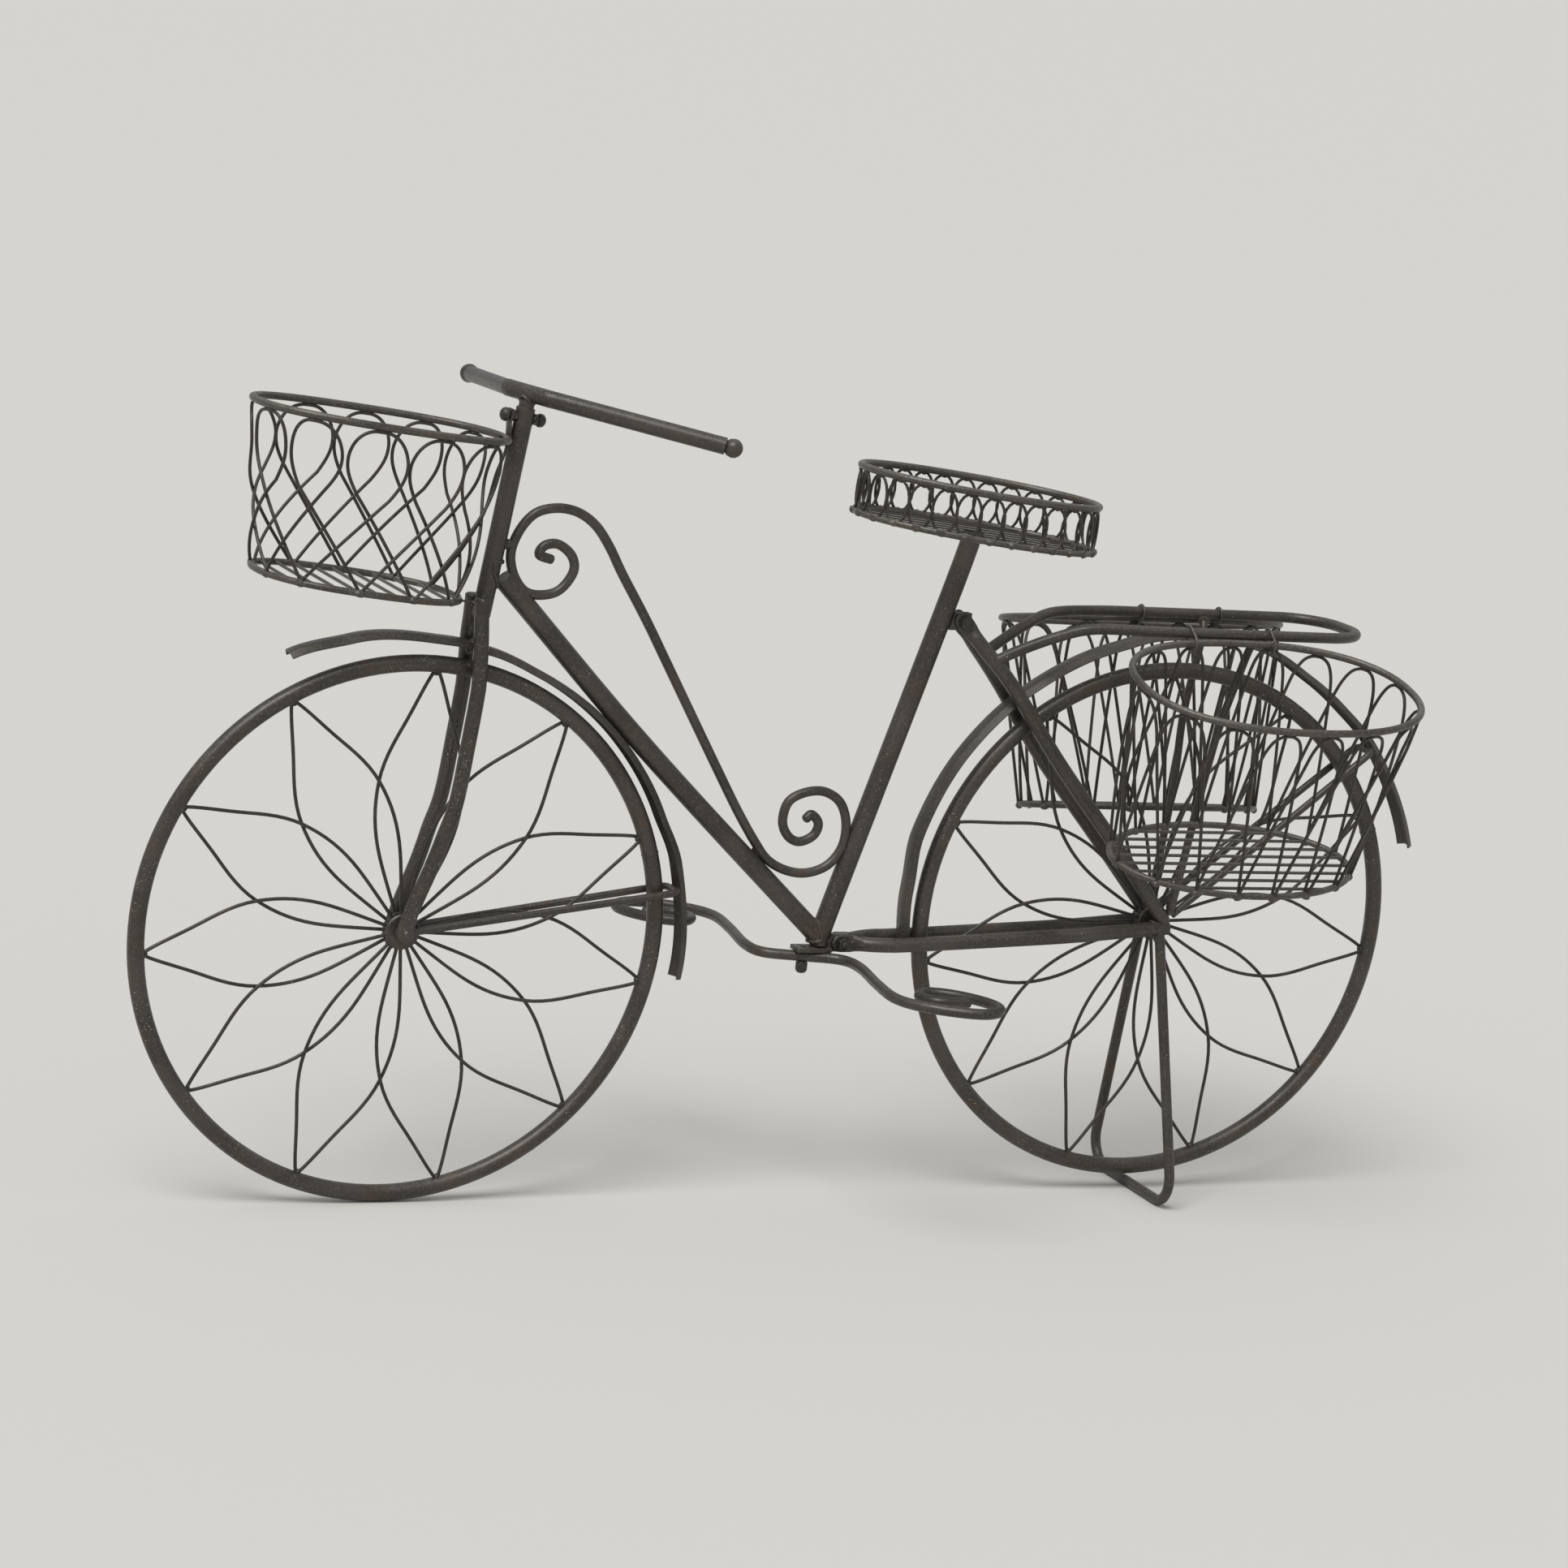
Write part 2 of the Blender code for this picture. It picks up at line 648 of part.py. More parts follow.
def handlebar():
    # Short crossbar and two arms swept back, turned to the rider's left
    turn = Matrix.Rotation(handlebar_turn, 3, head_axis)
    forward = turn @ head_forward
    left = turn @ Vector((0, -1, 0))
    centre = head_top + head_axis * handlebar_rise
    lean = -head_axis * math.sin(handlebar_droop)
    ends = []
    for name, side in (("left", left), ("right", -left)):
        back = side * math.sin(handlebar_sweep) - forward * math.cos(handlebar_sweep)
        way = back * math.cos(handlebar_droop) + lean
        corner = centre + side * crossbar_half_length
        tip = corner + way * handlebar_arm_length
        show(name + "_handlebar_cap", ball_mesh(tip, grip_ball_radius), bronze_paint)
        ends.append([tip, *rounded_corner(tip, corner, centre, handlebar_bend_radius, 3)])
    path = [*ends[0], *ends[1][::-1]]
    bar = show("handlebar", tube_mesh(path, handlebar_tube_radius, 12), bronze_paint)
    for end in ends:
        cut(bar, ball_mesh(end[0], grip_ball_radius + weld_gap))
    foot = head_top - head_axis * stem_depth
    stem = show("handlebar_stem", bar_mesh(foot, centre, stem_radius, 20), bronze_paint)
    crossbar = [centre - left * crossbar_half_length, centre + left * crossbar_half_length]
    cut(stem, clearance_tube(crossbar, handlebar_tube_radius))


def clamp_screws():
    # A screw in a nut on each side of the head tube's mouth, which pins the stem
    at = head_top - head_axis * clamp_screw_drop
    sides = (("front", head_forward, strap_thickness + weld_gap), ("rear", -head_forward, 0))
    for name, way, spacer in sides:
        nut_low = at + way * (head_tube_radius + weld_gap)
        nut_high = nut_low + way * clamp_nut_height
        head_low = nut_high + way * (spacer + weld_gap)
        hexagon = bar_mesh(nut_low, nut_high, clamp_nut_radius, 6)
        nut = show(name + "_clamp_nut", hexagon, bare_fastener)
        reach = way * (2 * head_tube_radius)
        cut(nut, bar_mesh(at, at + reach, clamp_screw_radius + running_gap, 10))
        tip = at + way * (stem_radius + 2 * running_gap)
        shank = bar_mesh(tip, head_low + way * weld_gap, clamp_screw_radius, 10)
        head = bar_mesh(head_low, head_low + way * clamp_head_height, clamp_head_radius, 8)
        fused(name + "_clamp_screw", [shank, head], bare_fastener)


def wheel(name, axle, first_node):
    # Rim, hub and spokes of one wheel
    steps = 36
    circle = [polar(axle, rim_radius, math.tau * step / steps) for step in range(steps)]
    show(name + "_rim", tube_mesh(circle, rim_tube_radius, 8, True), bronze_paint)
    wide = Vector((0, hub_half_width, 0))
    hub = show(name + "_hub", bar_mesh(axle - wide, axle + wide, hub_radius, 24), bronze_paint)
    across = Vector((0, rim_radius, 0))
    cut(hub, bar_mesh(axle - across, axle + across, axle_radius + running_gap))
    inner = hub_radius + 2 * weld_gap
    outer = rim_radius - rim_tube_radius - weld_gap - spoke_radius
    spacing = math.tau / spoke_nodes
    wires = []
    for node in range(spoke_nodes):
        for way in (-1, 1):
            start = first_node + node * spacing
            path = [
                polar(axle, inner + share * (outer - inner), start + way * turn * spacing)
                for share, turn in spoke_shares
            ]
            wires.append(tube_mesh(path, spoke_radius, 4))
    fused(name + "_spokes", wires, dark_wire)


def outline_radius(shares, angle):
    # Radius share at an angle, read from a table that runs from one angle down to another.
    for (first, start), (last, end) in zip(shares, shares[1:]):
        if first >= angle >= last:
            t = (first - angle) / (first - last)
            return start + (end - start) * t * t * (3 - 2 * t)
    return shares[-1][1]


def fender(name, axle, radius, shares):
    # A shallow channel bent round the wheel: its open section is extruded step by step.
    def section(angle):
        out = radius * outline_radius(shares, angle)
        turn = math.radians(angle)
        return [
            polar(axle, out - fender_depth, turn, -fender_half_width),
            polar(axle, out, turn, -fender_web_half_width),
            polar(axle, out, turn, fender_web_half_width),
            polar(axle, out - fender_depth, turn, fender_half_width),
        ]

    steps = 26
    first, last = shares[0][0], shares[-1][0]
    angles = [first + (last - first) * step / steps for step in range(steps + 1)]
    shape = bmesh.new()
    corners = [shape.verts.new(place) for place in section(angles[0])]
    edges = [shape.edges.new(pair) for pair in zip(corners, corners[1:])]
    for angle in angles[1:]:
        made = bmesh.ops.extrude_edge_only(shape, edges=edges)["geom"]
        corners = [item for item in made if isinstance(item, bmesh.types.BMVert)]
        edges = [item for item in made if isinstance(item, bmesh.types.BMEdge)]
        edges = [edge for edge in edges if set(edge.verts) <= set(corners)]
        corners.sort(key=lambda corner: corner.co.y)
        for corner, place in zip(corners, section(angle)):
            corner.co = place
    bmesh.ops.recalc_face_normals(shape, faces=shape.faces)
    mesh = bpy.data.meshes.new(name)
    shape.to_mesh(mesh)
    shape.free()
    piece = show(name, mesh, bronze_paint)
    wall = piece.modifiers.new("wall", "SOLIDIFY")
    wall.thickness = fender_thickness
    wall.offset = -1 if mesh.polygons[0].normal.dot(mesh.vertices[0].co - axle) > 0 else 1
    wall.use_even_offset = True
    return piece


def fender_rod(name, axle, radius, angle, start, start_side, neighbours):
    # One rod from the axle's ends out to the fender and across under its edges
    low = radius - fender_depth - fender_thickness - fender_rod_radius - weld_gap
    side = fender_half_width + fender_rod_radius + weld_gap
    foot = polar(axle, start, angle, start_side)
    corner = polar(axle, low, angle, side)
    half = [foot, *rounded_corner(foot, corner, polar(axle, low, angle), fender_rod_bend_radius, 3)]
    path = [*half, *mirrored(half)[::-1]]
    piece = show(name, tube_mesh(path, fender_rod_radius), bronze_paint)
    for stay in neighbours:
        cut(piece, clearance_tube(stay, stay_radius))
        cut(piece, clearance_tube(mirrored(stay), stay_radius))
    return piece


def fenders():
    fender("front_fender", front_axle, front_fender_radius, front_fender_shares)
    fender("rear_fender", rear_axle, rear_fender_radius, rear_fender_shares)
    front_low = front_fender_radius * outline_radius(front_fender_shares, math.degrees(front_rod_angle))
    side = hub_half_width + running_gap + weld_gap + fender_rod_radius
    fender_rod(
        "front_fender_rod", front_axle, front_low, front_rod_angle, axle_radius + weld_gap, side, []
    )
    rear_low = rear_fender_radius * outline_radius(rear_fender_shares, math.degrees(rear_rod_angle))
    rod = fender_rod(
        "rear_fender_rod", rear_axle, rear_low, rear_rod_angle, rear_rod_start, dropout_half_width,
        [chainstay_path[-3:], seat_stay_path[-3:]],
    )
    for path in (strut_path, mirrored(strut_path)):
        cut(rod, clearance_tube(path[-3:], strut_radius))


def pedal_bar():
    # One rod bent like a Z, with a spiral at each end
    half = [Vector((share[0], share[1], 0)) for share in pedal_shares]
    centre = Vector((pedal_bolt_x, 0, pedal_bar_height))
    near = [centre + point * pedal_reach for point in half]
    far = [centre - point * pedal_reach for point in half]
    bar = show("pedal_bar", tube_mesh([*near[::-1], *far[1:]], pedal_rod_radius), bronze_paint)
    high = Vector((pedal_bolt_x, 0, front_z))
    low = Vector((pedal_bolt_x, 0, 0))
    cut(bar, bar_mesh(low, high, pedal_bolt_radius + running_gap, 12))
    nut_top = centre - Vector((0, 0, pedal_rod_radius + weld_gap))
    nut_foot = nut_top - Vector((0, 0, pedal_nut_height))
    shank_foot = nut_foot + Vector((0, 0, pedal_nut_radius / 2))
    shank_top = Vector((pedal_bolt_x, 0, lug_plate_high - weld_gap))
    show("pedal_bolt", bar_mesh(shank_foot, shank_top, pedal_bolt_radius, 12), bare_fastener)
    nut = show("pedal_nut", bar_mesh(nut_foot, nut_top, pedal_nut_radius, 16), bare_fastener)
    bore_foot = shank_foot - Vector((0, 0, weld_gap))
    cut(nut, bar_mesh(bore_foot, high, pedal_bolt_radius + running_gap, 12))


def oval(half_length, half_width, power, count=240):
    # A rounded oval as evenly spaced points, with how far out it reaches set by its power.
    points = []
    for step in range(count * 4):
        turn = math.tau * step / (count * 4)
        across, up = math.cos(turn), math.sin(turn)
        points.append(
            Vector((
                math.copysign(abs(across) ** (2 / power), across) * half_length,
                math.copysign(abs(up) ** (2 / power), up) * half_width,
            ))
        )
    lengths = [(end - start).length for start, end in zip(points, [*points[1:], points[0]])]
    total = sum(lengths)
    even = []
    run, index = 0.0, 0
    for step in range(count):
        goal = total * step / count
        while run + lengths[index] < goal:
            run += lengths[index]
            index += 1
        start, end = points[index], points[(index + 1) % len(points)]
        even.append(start.lerp(end, (goal - run) / lengths[index]))
    return even


class Basket:
    # A wire basket's own frame: a top oval, a base oval below it, and the directions between them.
    def __init__(self, centre, along, across, sizes, shift, height, powers):
        self.centre = centre
        self.along = along
        self.across = across
        self.up = along.cross(across)
        if self.up.z < 0:
            self.up = -self.up
        self.base = centre - self.up * height + along * shift
        self.top_oval = oval(sizes[0], sizes[1], powers[0])
        self.base_oval = oval(sizes[2], sizes[3], powers[1])

    def place(self, outline, middle, share, grow=0.0):
        count = len(outline)
        spot_at = (share % 1.0) * count
        first = int(spot_at) % count
        flat = outline[first].lerp(outline[(first + 1) % count], spot_at - int(spot_at))
        flat = flat + flat.normalized() * grow
        return middle + self.along * flat.x + self.across * flat.y

    def top(self, share, grow=0.0):
        return self.place(self.top_oval, self.centre, share, grow)

    def foot(self, share, grow=0.0):
        return self.place(self.base_oval, self.base, share, grow)

    def wall(self, share, depth, grow=0.0):
        # A point on the wire wall, from just under the top rod down to the base rod.
        under = self.up * (basket_rod_radius + wire_radius + weld_gap)
        return (self.top(share, grow) - under).lerp(self.foot(share, grow), depth)

    def ring(self, which, steps=22):
        return [which(step / steps) for step in range(steps)]


def share_round(tops, at):
    # A share of the way round, at a wire's number or between two wires.
    first = math.floor(at)
    before = tops[first % len(tops)] + first // len(tops)
    after = tops[(first + 1) % len(tops)] + (first + 1) // len(tops)
    return before + (after - before) * (at - first)


def wall_wires(basket, tops, shares):
    # Wires whose two legs pass outside and inside their neighbours' legs.
    wires = []
    lift = wire_radius + weld_gap
    for index in range(len(tops)):
        legs = []
        for way in (-1, 1):
            leg = [
                basket.wall(
                    share_round(tops, index + way * offset), depth, way * lift * min(1, 4 * depth)
                )
                for offset, depth in shares
            ]
            legs.append(leg)
        wires.append(tube_mesh([*legs[0][::-1], *legs[1][1:]], wire_radius, 4))
    return wires


def base_bars(basket, count, half_length, half_width, power, lengthwise):
    # Straight bars across the base oval, along it or square to it
    bars = []
    for index in range(count):
        share = 2 * (index + 1) / (count + 1) - 1
        reach = (1 - abs(share) ** power) ** (1 / power)
        if lengthwise:
            run = basket.along * (half_length * reach)
            middle = basket.base + basket.across * (half_width * share)
        else:
            run = basket.across * (half_width * reach)
            middle = basket.base + basket.along * (half_length * share)
        bars.append(tube_mesh([middle - run, middle + run], wire_radius, 4))
    return bars


front_down = Vector((math.cos(front_basket_tilt), 0, -math.sin(front_basket_tilt)))
front_basket = Basket(
    head_top - Vector((front_basket_reach, 0, front_basket_drop)), front_down, Vector((0, 1, 0)),
    (front_basket_half_length, front_basket_half_width, front_base_half_length, front_base_half_width),
    front_base_shift, front_basket_height, (front_basket_squareness, front_basket_squareness),
)
saddle_down = Vector((math.cos(saddle_tilt), 0, -math.sin(saddle_tilt)))
saddle_up = Vector((math.sin(saddle_tilt), 0, math.cos(saddle_tilt)))
saddle = Basket(
    spot(seat_tube_shares[-1]) - Vector((saddle_advance, 0, saddle_drop)) + saddle_up * saddle_height,
    saddle_down, Vector((0, 1, 0)),
    (saddle_half_length, saddle_half_width, saddle_half_length, saddle_half_width),
    saddle_base_shift, saddle_height, (saddle_squareness, saddle_squareness),
)


def rear_basket(side, setback, tilt):
    # Hangs from the rail with its top leaning outwards
    outwards = Vector((0, side * math.cos(tilt), -math.sin(tilt)))
    rail = Vector((rear_x + setback, side * rail_half_width, rail_height))
    hang = Vector((0, side * math.sin(basket_hang_angle), -math.cos(basket_hang_angle))) * basket_hang
    return Basket(
        rail + hang + outwards * rear_basket_half_width, Vector((1, 0, 0)), outwards,
        (rear_basket_half_length, rear_basket_half_width, rear_base_half_length, rear_base_half_width),
        0, rear_basket_height, (rear_top_squareness, rear_base_squareness),
    )


def basket_fittings():
    # Strap from the clamp screw to the top rod, and a rod from the base to the head tube
    near = head_tube_radius + clamp_nut_height + 2 * weld_gap
    at = head_top - head_axis * clamp_screw_drop
    rim_back = front_basket.top(0)
    low = (at - rim_back).dot(head_axis) - basket_rod_radius - weld_gap
    size = Vector((strap_thickness, 2 * strap_half_width, low + strap_end))
    middle = at + head_forward * (near + strap_thickness / 2) + head_axis * ((strap_end - low) / 2)
    shape = bmesh.new()
    place = Matrix.Translation(middle) @ Matrix.Rotation(head_rake, 4, "Y") @ Matrix.Diagonal((*size, 1))
    bmesh.ops.create_cube(shape, size=1, matrix=place)
    mesh = bpy.data.meshes.new("strap")
    shape.to_mesh(mesh)
    shape.free()
    strap = show("front_basket_strap", mesh, bronze_paint)
    reach = head_forward * (4 * head_tube_radius)
    cut(strap, bar_mesh(at, at + reach, clamp_screw_radius + running_gap, 10))
    base_back = front_basket.foot(0)
    start = base_back - Vector((basket_rod_radius, 0, basket_rod_radius + basket_tab_radius + weld_gap))
    end = head_foot + head_axis * head_tube_radius
    rod = show("front_basket_tab", tube_mesh([start, end], basket_tab_radius), bronze_paint)
    cut(rod, clearance_tube(head_line, head_tube_radius))


def front_basket_pieces():
    rod = tube_mesh(front_basket.ring(front_basket.top), basket_rod_radius, 6, True)
    show("front_basket_rim", rod, bronze_paint)
    wires = [tube_mesh(front_basket.ring(front_basket.foot), basket_rod_radius, 6, True)]
    wires += wall_wires(front_basket, front_loop_shares, teardrop_shares)
    wires += base_bars(
        front_basket, front_basket_bars, front_base_half_length, front_base_half_width,
        front_basket_squareness, False,
    )
    fused("front_basket_wires", wires, dark_wire)
    basket_fittings()


def saddle_pieces():
    rod = tube_mesh(saddle.ring(saddle.top), basket_rod_radius, 6, True)
    show("saddle_basket_rim", rod, bronze_paint)
    wires = [tube_mesh(saddle.ring(saddle.foot), basket_rod_radius, 6, True)]
    steps = 6
    for index in range(saddle_loops):
        middle = index / saddle_loops
        path = []
        for step in range(steps):
            turn = math.tau * step / steps
            offset = saddle_loop_share * math.sin(turn) / saddle_loops
            path.append(saddle.wall(middle + offset, (1 - math.cos(turn)) / 2))
        wires.append(tube_mesh(path, wire_radius, 4, True))
    wires += base_bars(
        saddle, saddle_bars, saddle_half_length, saddle_half_width, saddle_squareness, True
    )
    fused("saddle_basket_wires", wires, dark_wire)


def rear_basket_pieces(name, basket, side, turn):
    rod = tube_mesh(basket.ring(basket.top), basket_rod_radius, 6, True)
    show(name + "_basket_rim", rod, bronze_paint)
    wires = [tube_mesh(basket.ring(basket.foot), basket_rod_radius, 6, True)]
    tops = [share + turn for share in rear_arch_shares]
    wires += wall_wires(basket, tops, arch_shares)
    wires += base_bars(
        basket, rear_basket_bars, rear_base_half_length, rear_base_half_width,
        rear_base_squareness, True,
    )
    fused(name + "_basket_wires", wires, dark_wire)

    # Two wire hangers, each a loop round the rail, the basket's top rod and the wire under it
    for place, arch in (("front", front_hanger_arch), ("rear", rear_hanger_arch)):
        rim_at = basket.top(tops[arch])
        rail_at = Vector((rim_at.x, side * rail_half_width, rail_height))
        down = (rim_at - rail_at).normalized()
        across = down.cross(Vector((1, 0, 0)))
        steps = 7
        slack = weld_gap + hanger_wire_radius
        half_turn = math.cos(math.pi / steps / 2)
        upper = (rail_rod_radius + slack) / half_turn
        lower = (basket_rod_radius + 2 * wire_radius + 2 * weld_gap + slack) / half_turn
        path = []
        for centre, outwards, reach in ((rail_at, -1, upper), (rim_at, 1, lower)):
            for step in range(steps + 1):
                turn = outwards * (math.pi / 2 - math.pi * step / steps)
                run = down * (outwards * reach * math.cos(turn))
                path.append(centre + run + across * (reach * math.sin(turn)))
        loop = tube_mesh(path, hanger_wire_radius, 4, True)
        show(f"{name}_{place}_hanger", loop, dark_wire)


front_frame()
lugs()
fork()
rear_frame()
stand()
handlebar()
clamp_screws()
wheel("front", front_axle, front_spoke_start)
wheel("rear", rear_axle, rear_spoke_start)
fenders()
pedal_bar()
front_basket_pieces()
saddle_pieces()
rear_basket_pieces("left", rear_basket(-1, left_basket_setback, left_basket_tilt), -1, 0)
rear_basket_pieces(
    "right", rear_basket(1, right_basket_setback, right_basket_tilt), 1, right_arch_turn
)
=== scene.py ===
import math

import bmesh
import bpy
from mathutils import Matrix, Vector, noise


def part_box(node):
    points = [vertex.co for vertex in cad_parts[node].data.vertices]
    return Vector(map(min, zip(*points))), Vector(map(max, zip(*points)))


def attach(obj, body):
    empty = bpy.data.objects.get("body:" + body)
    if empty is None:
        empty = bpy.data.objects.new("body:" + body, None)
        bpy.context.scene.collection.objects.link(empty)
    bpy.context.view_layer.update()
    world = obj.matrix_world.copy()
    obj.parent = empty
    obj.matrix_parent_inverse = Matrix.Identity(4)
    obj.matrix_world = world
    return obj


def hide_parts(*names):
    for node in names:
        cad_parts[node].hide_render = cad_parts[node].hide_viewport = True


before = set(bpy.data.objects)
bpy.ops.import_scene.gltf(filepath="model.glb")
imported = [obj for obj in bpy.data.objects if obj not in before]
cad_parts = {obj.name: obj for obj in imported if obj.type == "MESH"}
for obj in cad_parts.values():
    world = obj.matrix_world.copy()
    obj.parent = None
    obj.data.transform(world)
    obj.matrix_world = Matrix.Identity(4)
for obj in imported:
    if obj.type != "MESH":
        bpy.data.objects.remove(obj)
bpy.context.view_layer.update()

# A garden planter shaped like a bicycle, bent and welded from steel tube, rod and wire.
# Metres, +Z up, the front points along -X and the near side is the rider's left, -Y.


# Helpers
def boxCentre(node):
    low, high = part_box(node)
    return (low + high) / 2


frontAxle = boxCentre("front_hub")
rearAxle = boxCentre("rear_hub")
wheelbase = rearAxle.x - frontAxle.x
middleX = (frontAxle.x + rearAxle.x) / 2
closeUp = 0.00001  # points nearer than this become one
xAxis = Vector((1, 0, 0))
yAxis = Vector((0, 1, 0))
zAxis = Vector((0, 0, 1))
weldLook = {"wobble": 0.22, "seamWobble": 0.3, "seamPace": 2.6}


def spot(share, side=0.0):  # a place in the frame's middle plane, from shares of the wheelbase
    return Vector((middleX + share[0] * wheelbase, side, frontAxle.z + share[1] * wheelbase))


def sidePath(shares, halfWidth):
    return [spot(share[:2], share[2] * halfWidth) for share in shares]


def polar(centre, radius, angle, side=0.0):  # a point round an axle
    return centre + Vector((radius * math.cos(angle), side, radius * math.sin(angle)))


def mirrored(points):
    return [Vector((point.x, -point.y, point.z)) for point in points]


def smoothPath(points, steps=6):  # a curve through every given point
    ends = [2 * points[0] - points[1], *points, 2 * points[-1] - points[-2]]
    path = []
    for before, start, end, after in zip(ends, ends[1:], ends[2:], ends[3:]):
        for step in range(steps):
            t = step / steps
            path.append(0.5 * (
                2 * start + (end - before) * t
                + (2 * before - 5 * start + 4 * end - after) * t**2
                + (3 * start - before - 3 * end + after) * t**3
            ))
    return [*path, points[-1]]


def roundedCorner(before, corner, after, radius, steps=10):  # an arc in a corner of a bent rod
    towards = (before - corner).normalized()
    away = (after - corner).normalized()
    half = towards.angle(away) / 2
    reach = radius / math.tan(half)
    centre = corner + (towards + away).normalized() * (radius / math.sin(half))
    first = (corner + towards * reach - centre).normalized()
    last = (corner + away * reach - centre).normalized()
    return [centre + first.slerp(last, step / steps) * radius for step in range(steps + 1)]


def placement(foot, way):
    return Matrix.Translation(foot) @ way.to_track_quat("Z", "Y").to_matrix().to_4x4()


def addShape(shape, other):  # puts one bmesh into another
    passing = bpy.data.meshes.new("passing")
    other.to_mesh(passing)
    other.free()
    shape.from_mesh(passing)
    bpy.data.meshes.remove(passing)


def addRods(shape, routes, radius, sides=12, closed=False, swell=None):  # round rods along routes
    curve = bpy.data.curves.new("rod", "CURVE")
    curve.dimensions = "3D"
    curve.bevel_depth = radius
    curve.bevel_resolution = sides // 2 - 2
    curve.use_fill_caps = True
    for route in routes:
        spline = curve.splines.new("POLY")
        spline.points.add(len(route) - 1)
        for index, (knot, place) in enumerate(zip(spline.points, route)):
            knot.co = (*place, 1)
            knot.radius = swell(index, place) if swell else 1
        spline.use_cyclic_u = closed
    holder = bpy.data.objects.new("rod", curve)
    bpy.context.scene.collection.objects.link(holder)
    graph = bpy.context.evaluated_depsgraph_get()
    mesh = bpy.data.meshes.new_from_object(holder.evaluated_get(graph))
    bpy.data.objects.remove(holder)
    bpy.data.curves.remove(curve)
    shape.from_mesh(mesh)
    bpy.data.meshes.remove(mesh)


def addTurned(shape, profile, foot, way, steps=40):  # a turned piece: radius and height along its axis
    turned = bmesh.new()
    corners = [turned.verts.new((radius, 0, height)) for radius, height in profile]
    edges = [turned.edges.new(pair) for pair in zip(corners, corners[1:])]
    bmesh.ops.spin(
        turned, geom=corners + edges, cent=(0, 0, 0), axis=(0, 0, 1), angle=math.tau,
        steps=steps, use_merge=True,
    )
    bmesh.ops.remove_doubles(turned, verts=turned.verts, dist=closeUp)
    bmesh.ops.recalc_face_normals(turned, faces=turned.faces)
    bmesh.ops.transform(turned, matrix=placement(foot, way), verts=turned.verts)
    addShape(shape, turned)


def bevelEdges(shape, edges, width):
    bmesh.ops.bevel(
        shape, geom=edges, offset=width, segments=2, profile=0.5, affect="EDGES", material=-1,
    )


def addHexagon(shape, foot, way, radius, height, chamfer=0.0006):  # a nut or a bolt's head
    block = bmesh.new()
    bmesh.ops.create_cone(
        block, cap_ends=True, segments=6, radius1=radius, radius2=radius, depth=height,
        matrix=placement(foot + way * (height / 2), way),
    )
    bevelEdges(block, block.edges[:], chamfer)
    addShape(shape, block)


def addRodEnds(shape, route, profile):  # rounds off both ends of a rod
    for end, inwards in ((route[0], route[1]), (route[-1], route[-2])):
        addTurned(shape, profile, end, (end - inwards).normalized(), 18)


def addSheet(shape, sections):  # a sheet through rows of points that run along +Y
    corners = [shape.verts.new(place) for place in sections[0]]
    edges = [shape.edges.new(pair) for pair in zip(corners, corners[1:])]
    for section in sections[1:]:
        made = bmesh.ops.extrude_edge_only(shape, edges=edges)["geom"]
        corners = [item for item in made if isinstance(item, bmesh.types.BMVert)]
        fresh = set(corners)
        edges = [
            item for item in made if isinstance(item, bmesh.types.BMEdge) and set(item.verts) <= fresh
        ]
        corners.sort(key=lambda corner: corner.co.y)
        for corner, place in zip(corners, section):
            corner.co = place
    bmesh.ops.recalc_face_normals(shape, faces=shape.faces)


def addWeld(shape, place, radius, way=None, stretch=1.0):  # a lump of weld, drawn out along the joint
    lump = bmesh.new()
    bmesh.ops.create_uvsphere(lump, u_segments=8, v_segments=6, radius=radius)
    for point in lump.verts:
        wobble = noise.noise((point.co + place) / radius) * weldLook["wobble"]
        point.co *= 1 + wobble
        point.co.z *= stretch
    bmesh.ops.transform(lump, matrix=placement(place, way or zAxis), verts=lump.verts)
    addShape(shape, lump)


def addSeam(shape, start, way, radius, other, otherWay, otherRadius, bead=0.0018, count=36):
    # The weld bead where a round tube that comes from start, along way, runs into another one
    side = way.orthogonal().normalized()
    up = way.cross(side)
    across = way - otherWay * way.dot(otherWay)
    ring = []
    for step in range(count):
        turn = math.tau * step / count
        point = start + (side * math.cos(turn) + up * math.sin(turn)) * radius
        offset = point - other
        offset -= otherWay * offset.dot(otherWay)
        half = across.dot(offset)
        square = half * half - across.dot(across) * (offset.dot(offset) - otherRadius**2)
        ring.append(point + way * ((-half - math.sqrt(max(square, 0))) / across.dot(across)))

    def lumps(index, place):
        swing = weldLook["seamWobble"] * math.sin(index * weldLook["seamPace"])
        return 1 + swing * noise.noise(place / bead)

    addRods(shape, [ring], bead, 8, True, lumps)


def addTouchWeld(shape, route, radius, otherRoute, otherRadius, stretch=2.6, size=0.0032):
    # A short weld where two rods pass closest
    pairs = [(a, b) for a in range(1, len(route) - 1) for b in range(len(otherRoute))]
    a, b = min(pairs, key=lambda pair: (route[pair[0]] - otherRoute[pair[1]]).length_squared)
    between = otherRoute[b] - route[a]
    place = route[a] + between * (radius / (radius + otherRadius))
    addWeld(shape, place, size, route[a + 1] - route[a - 1], stretch)


def nodeShape(node):  # a copy of a CAD node's mesh, with its loose triangles joined
    shape = bmesh.new()
    shape.from_mesh(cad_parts[node].data)
    bmesh.ops.remove_doubles(shape, verts=shape.verts, dist=closeUp)
    bmesh.ops.dissolve_limit(
        shape, angle_limit=math.radians(1), verts=shape.verts, edges=shape.edges
    )
    return shape


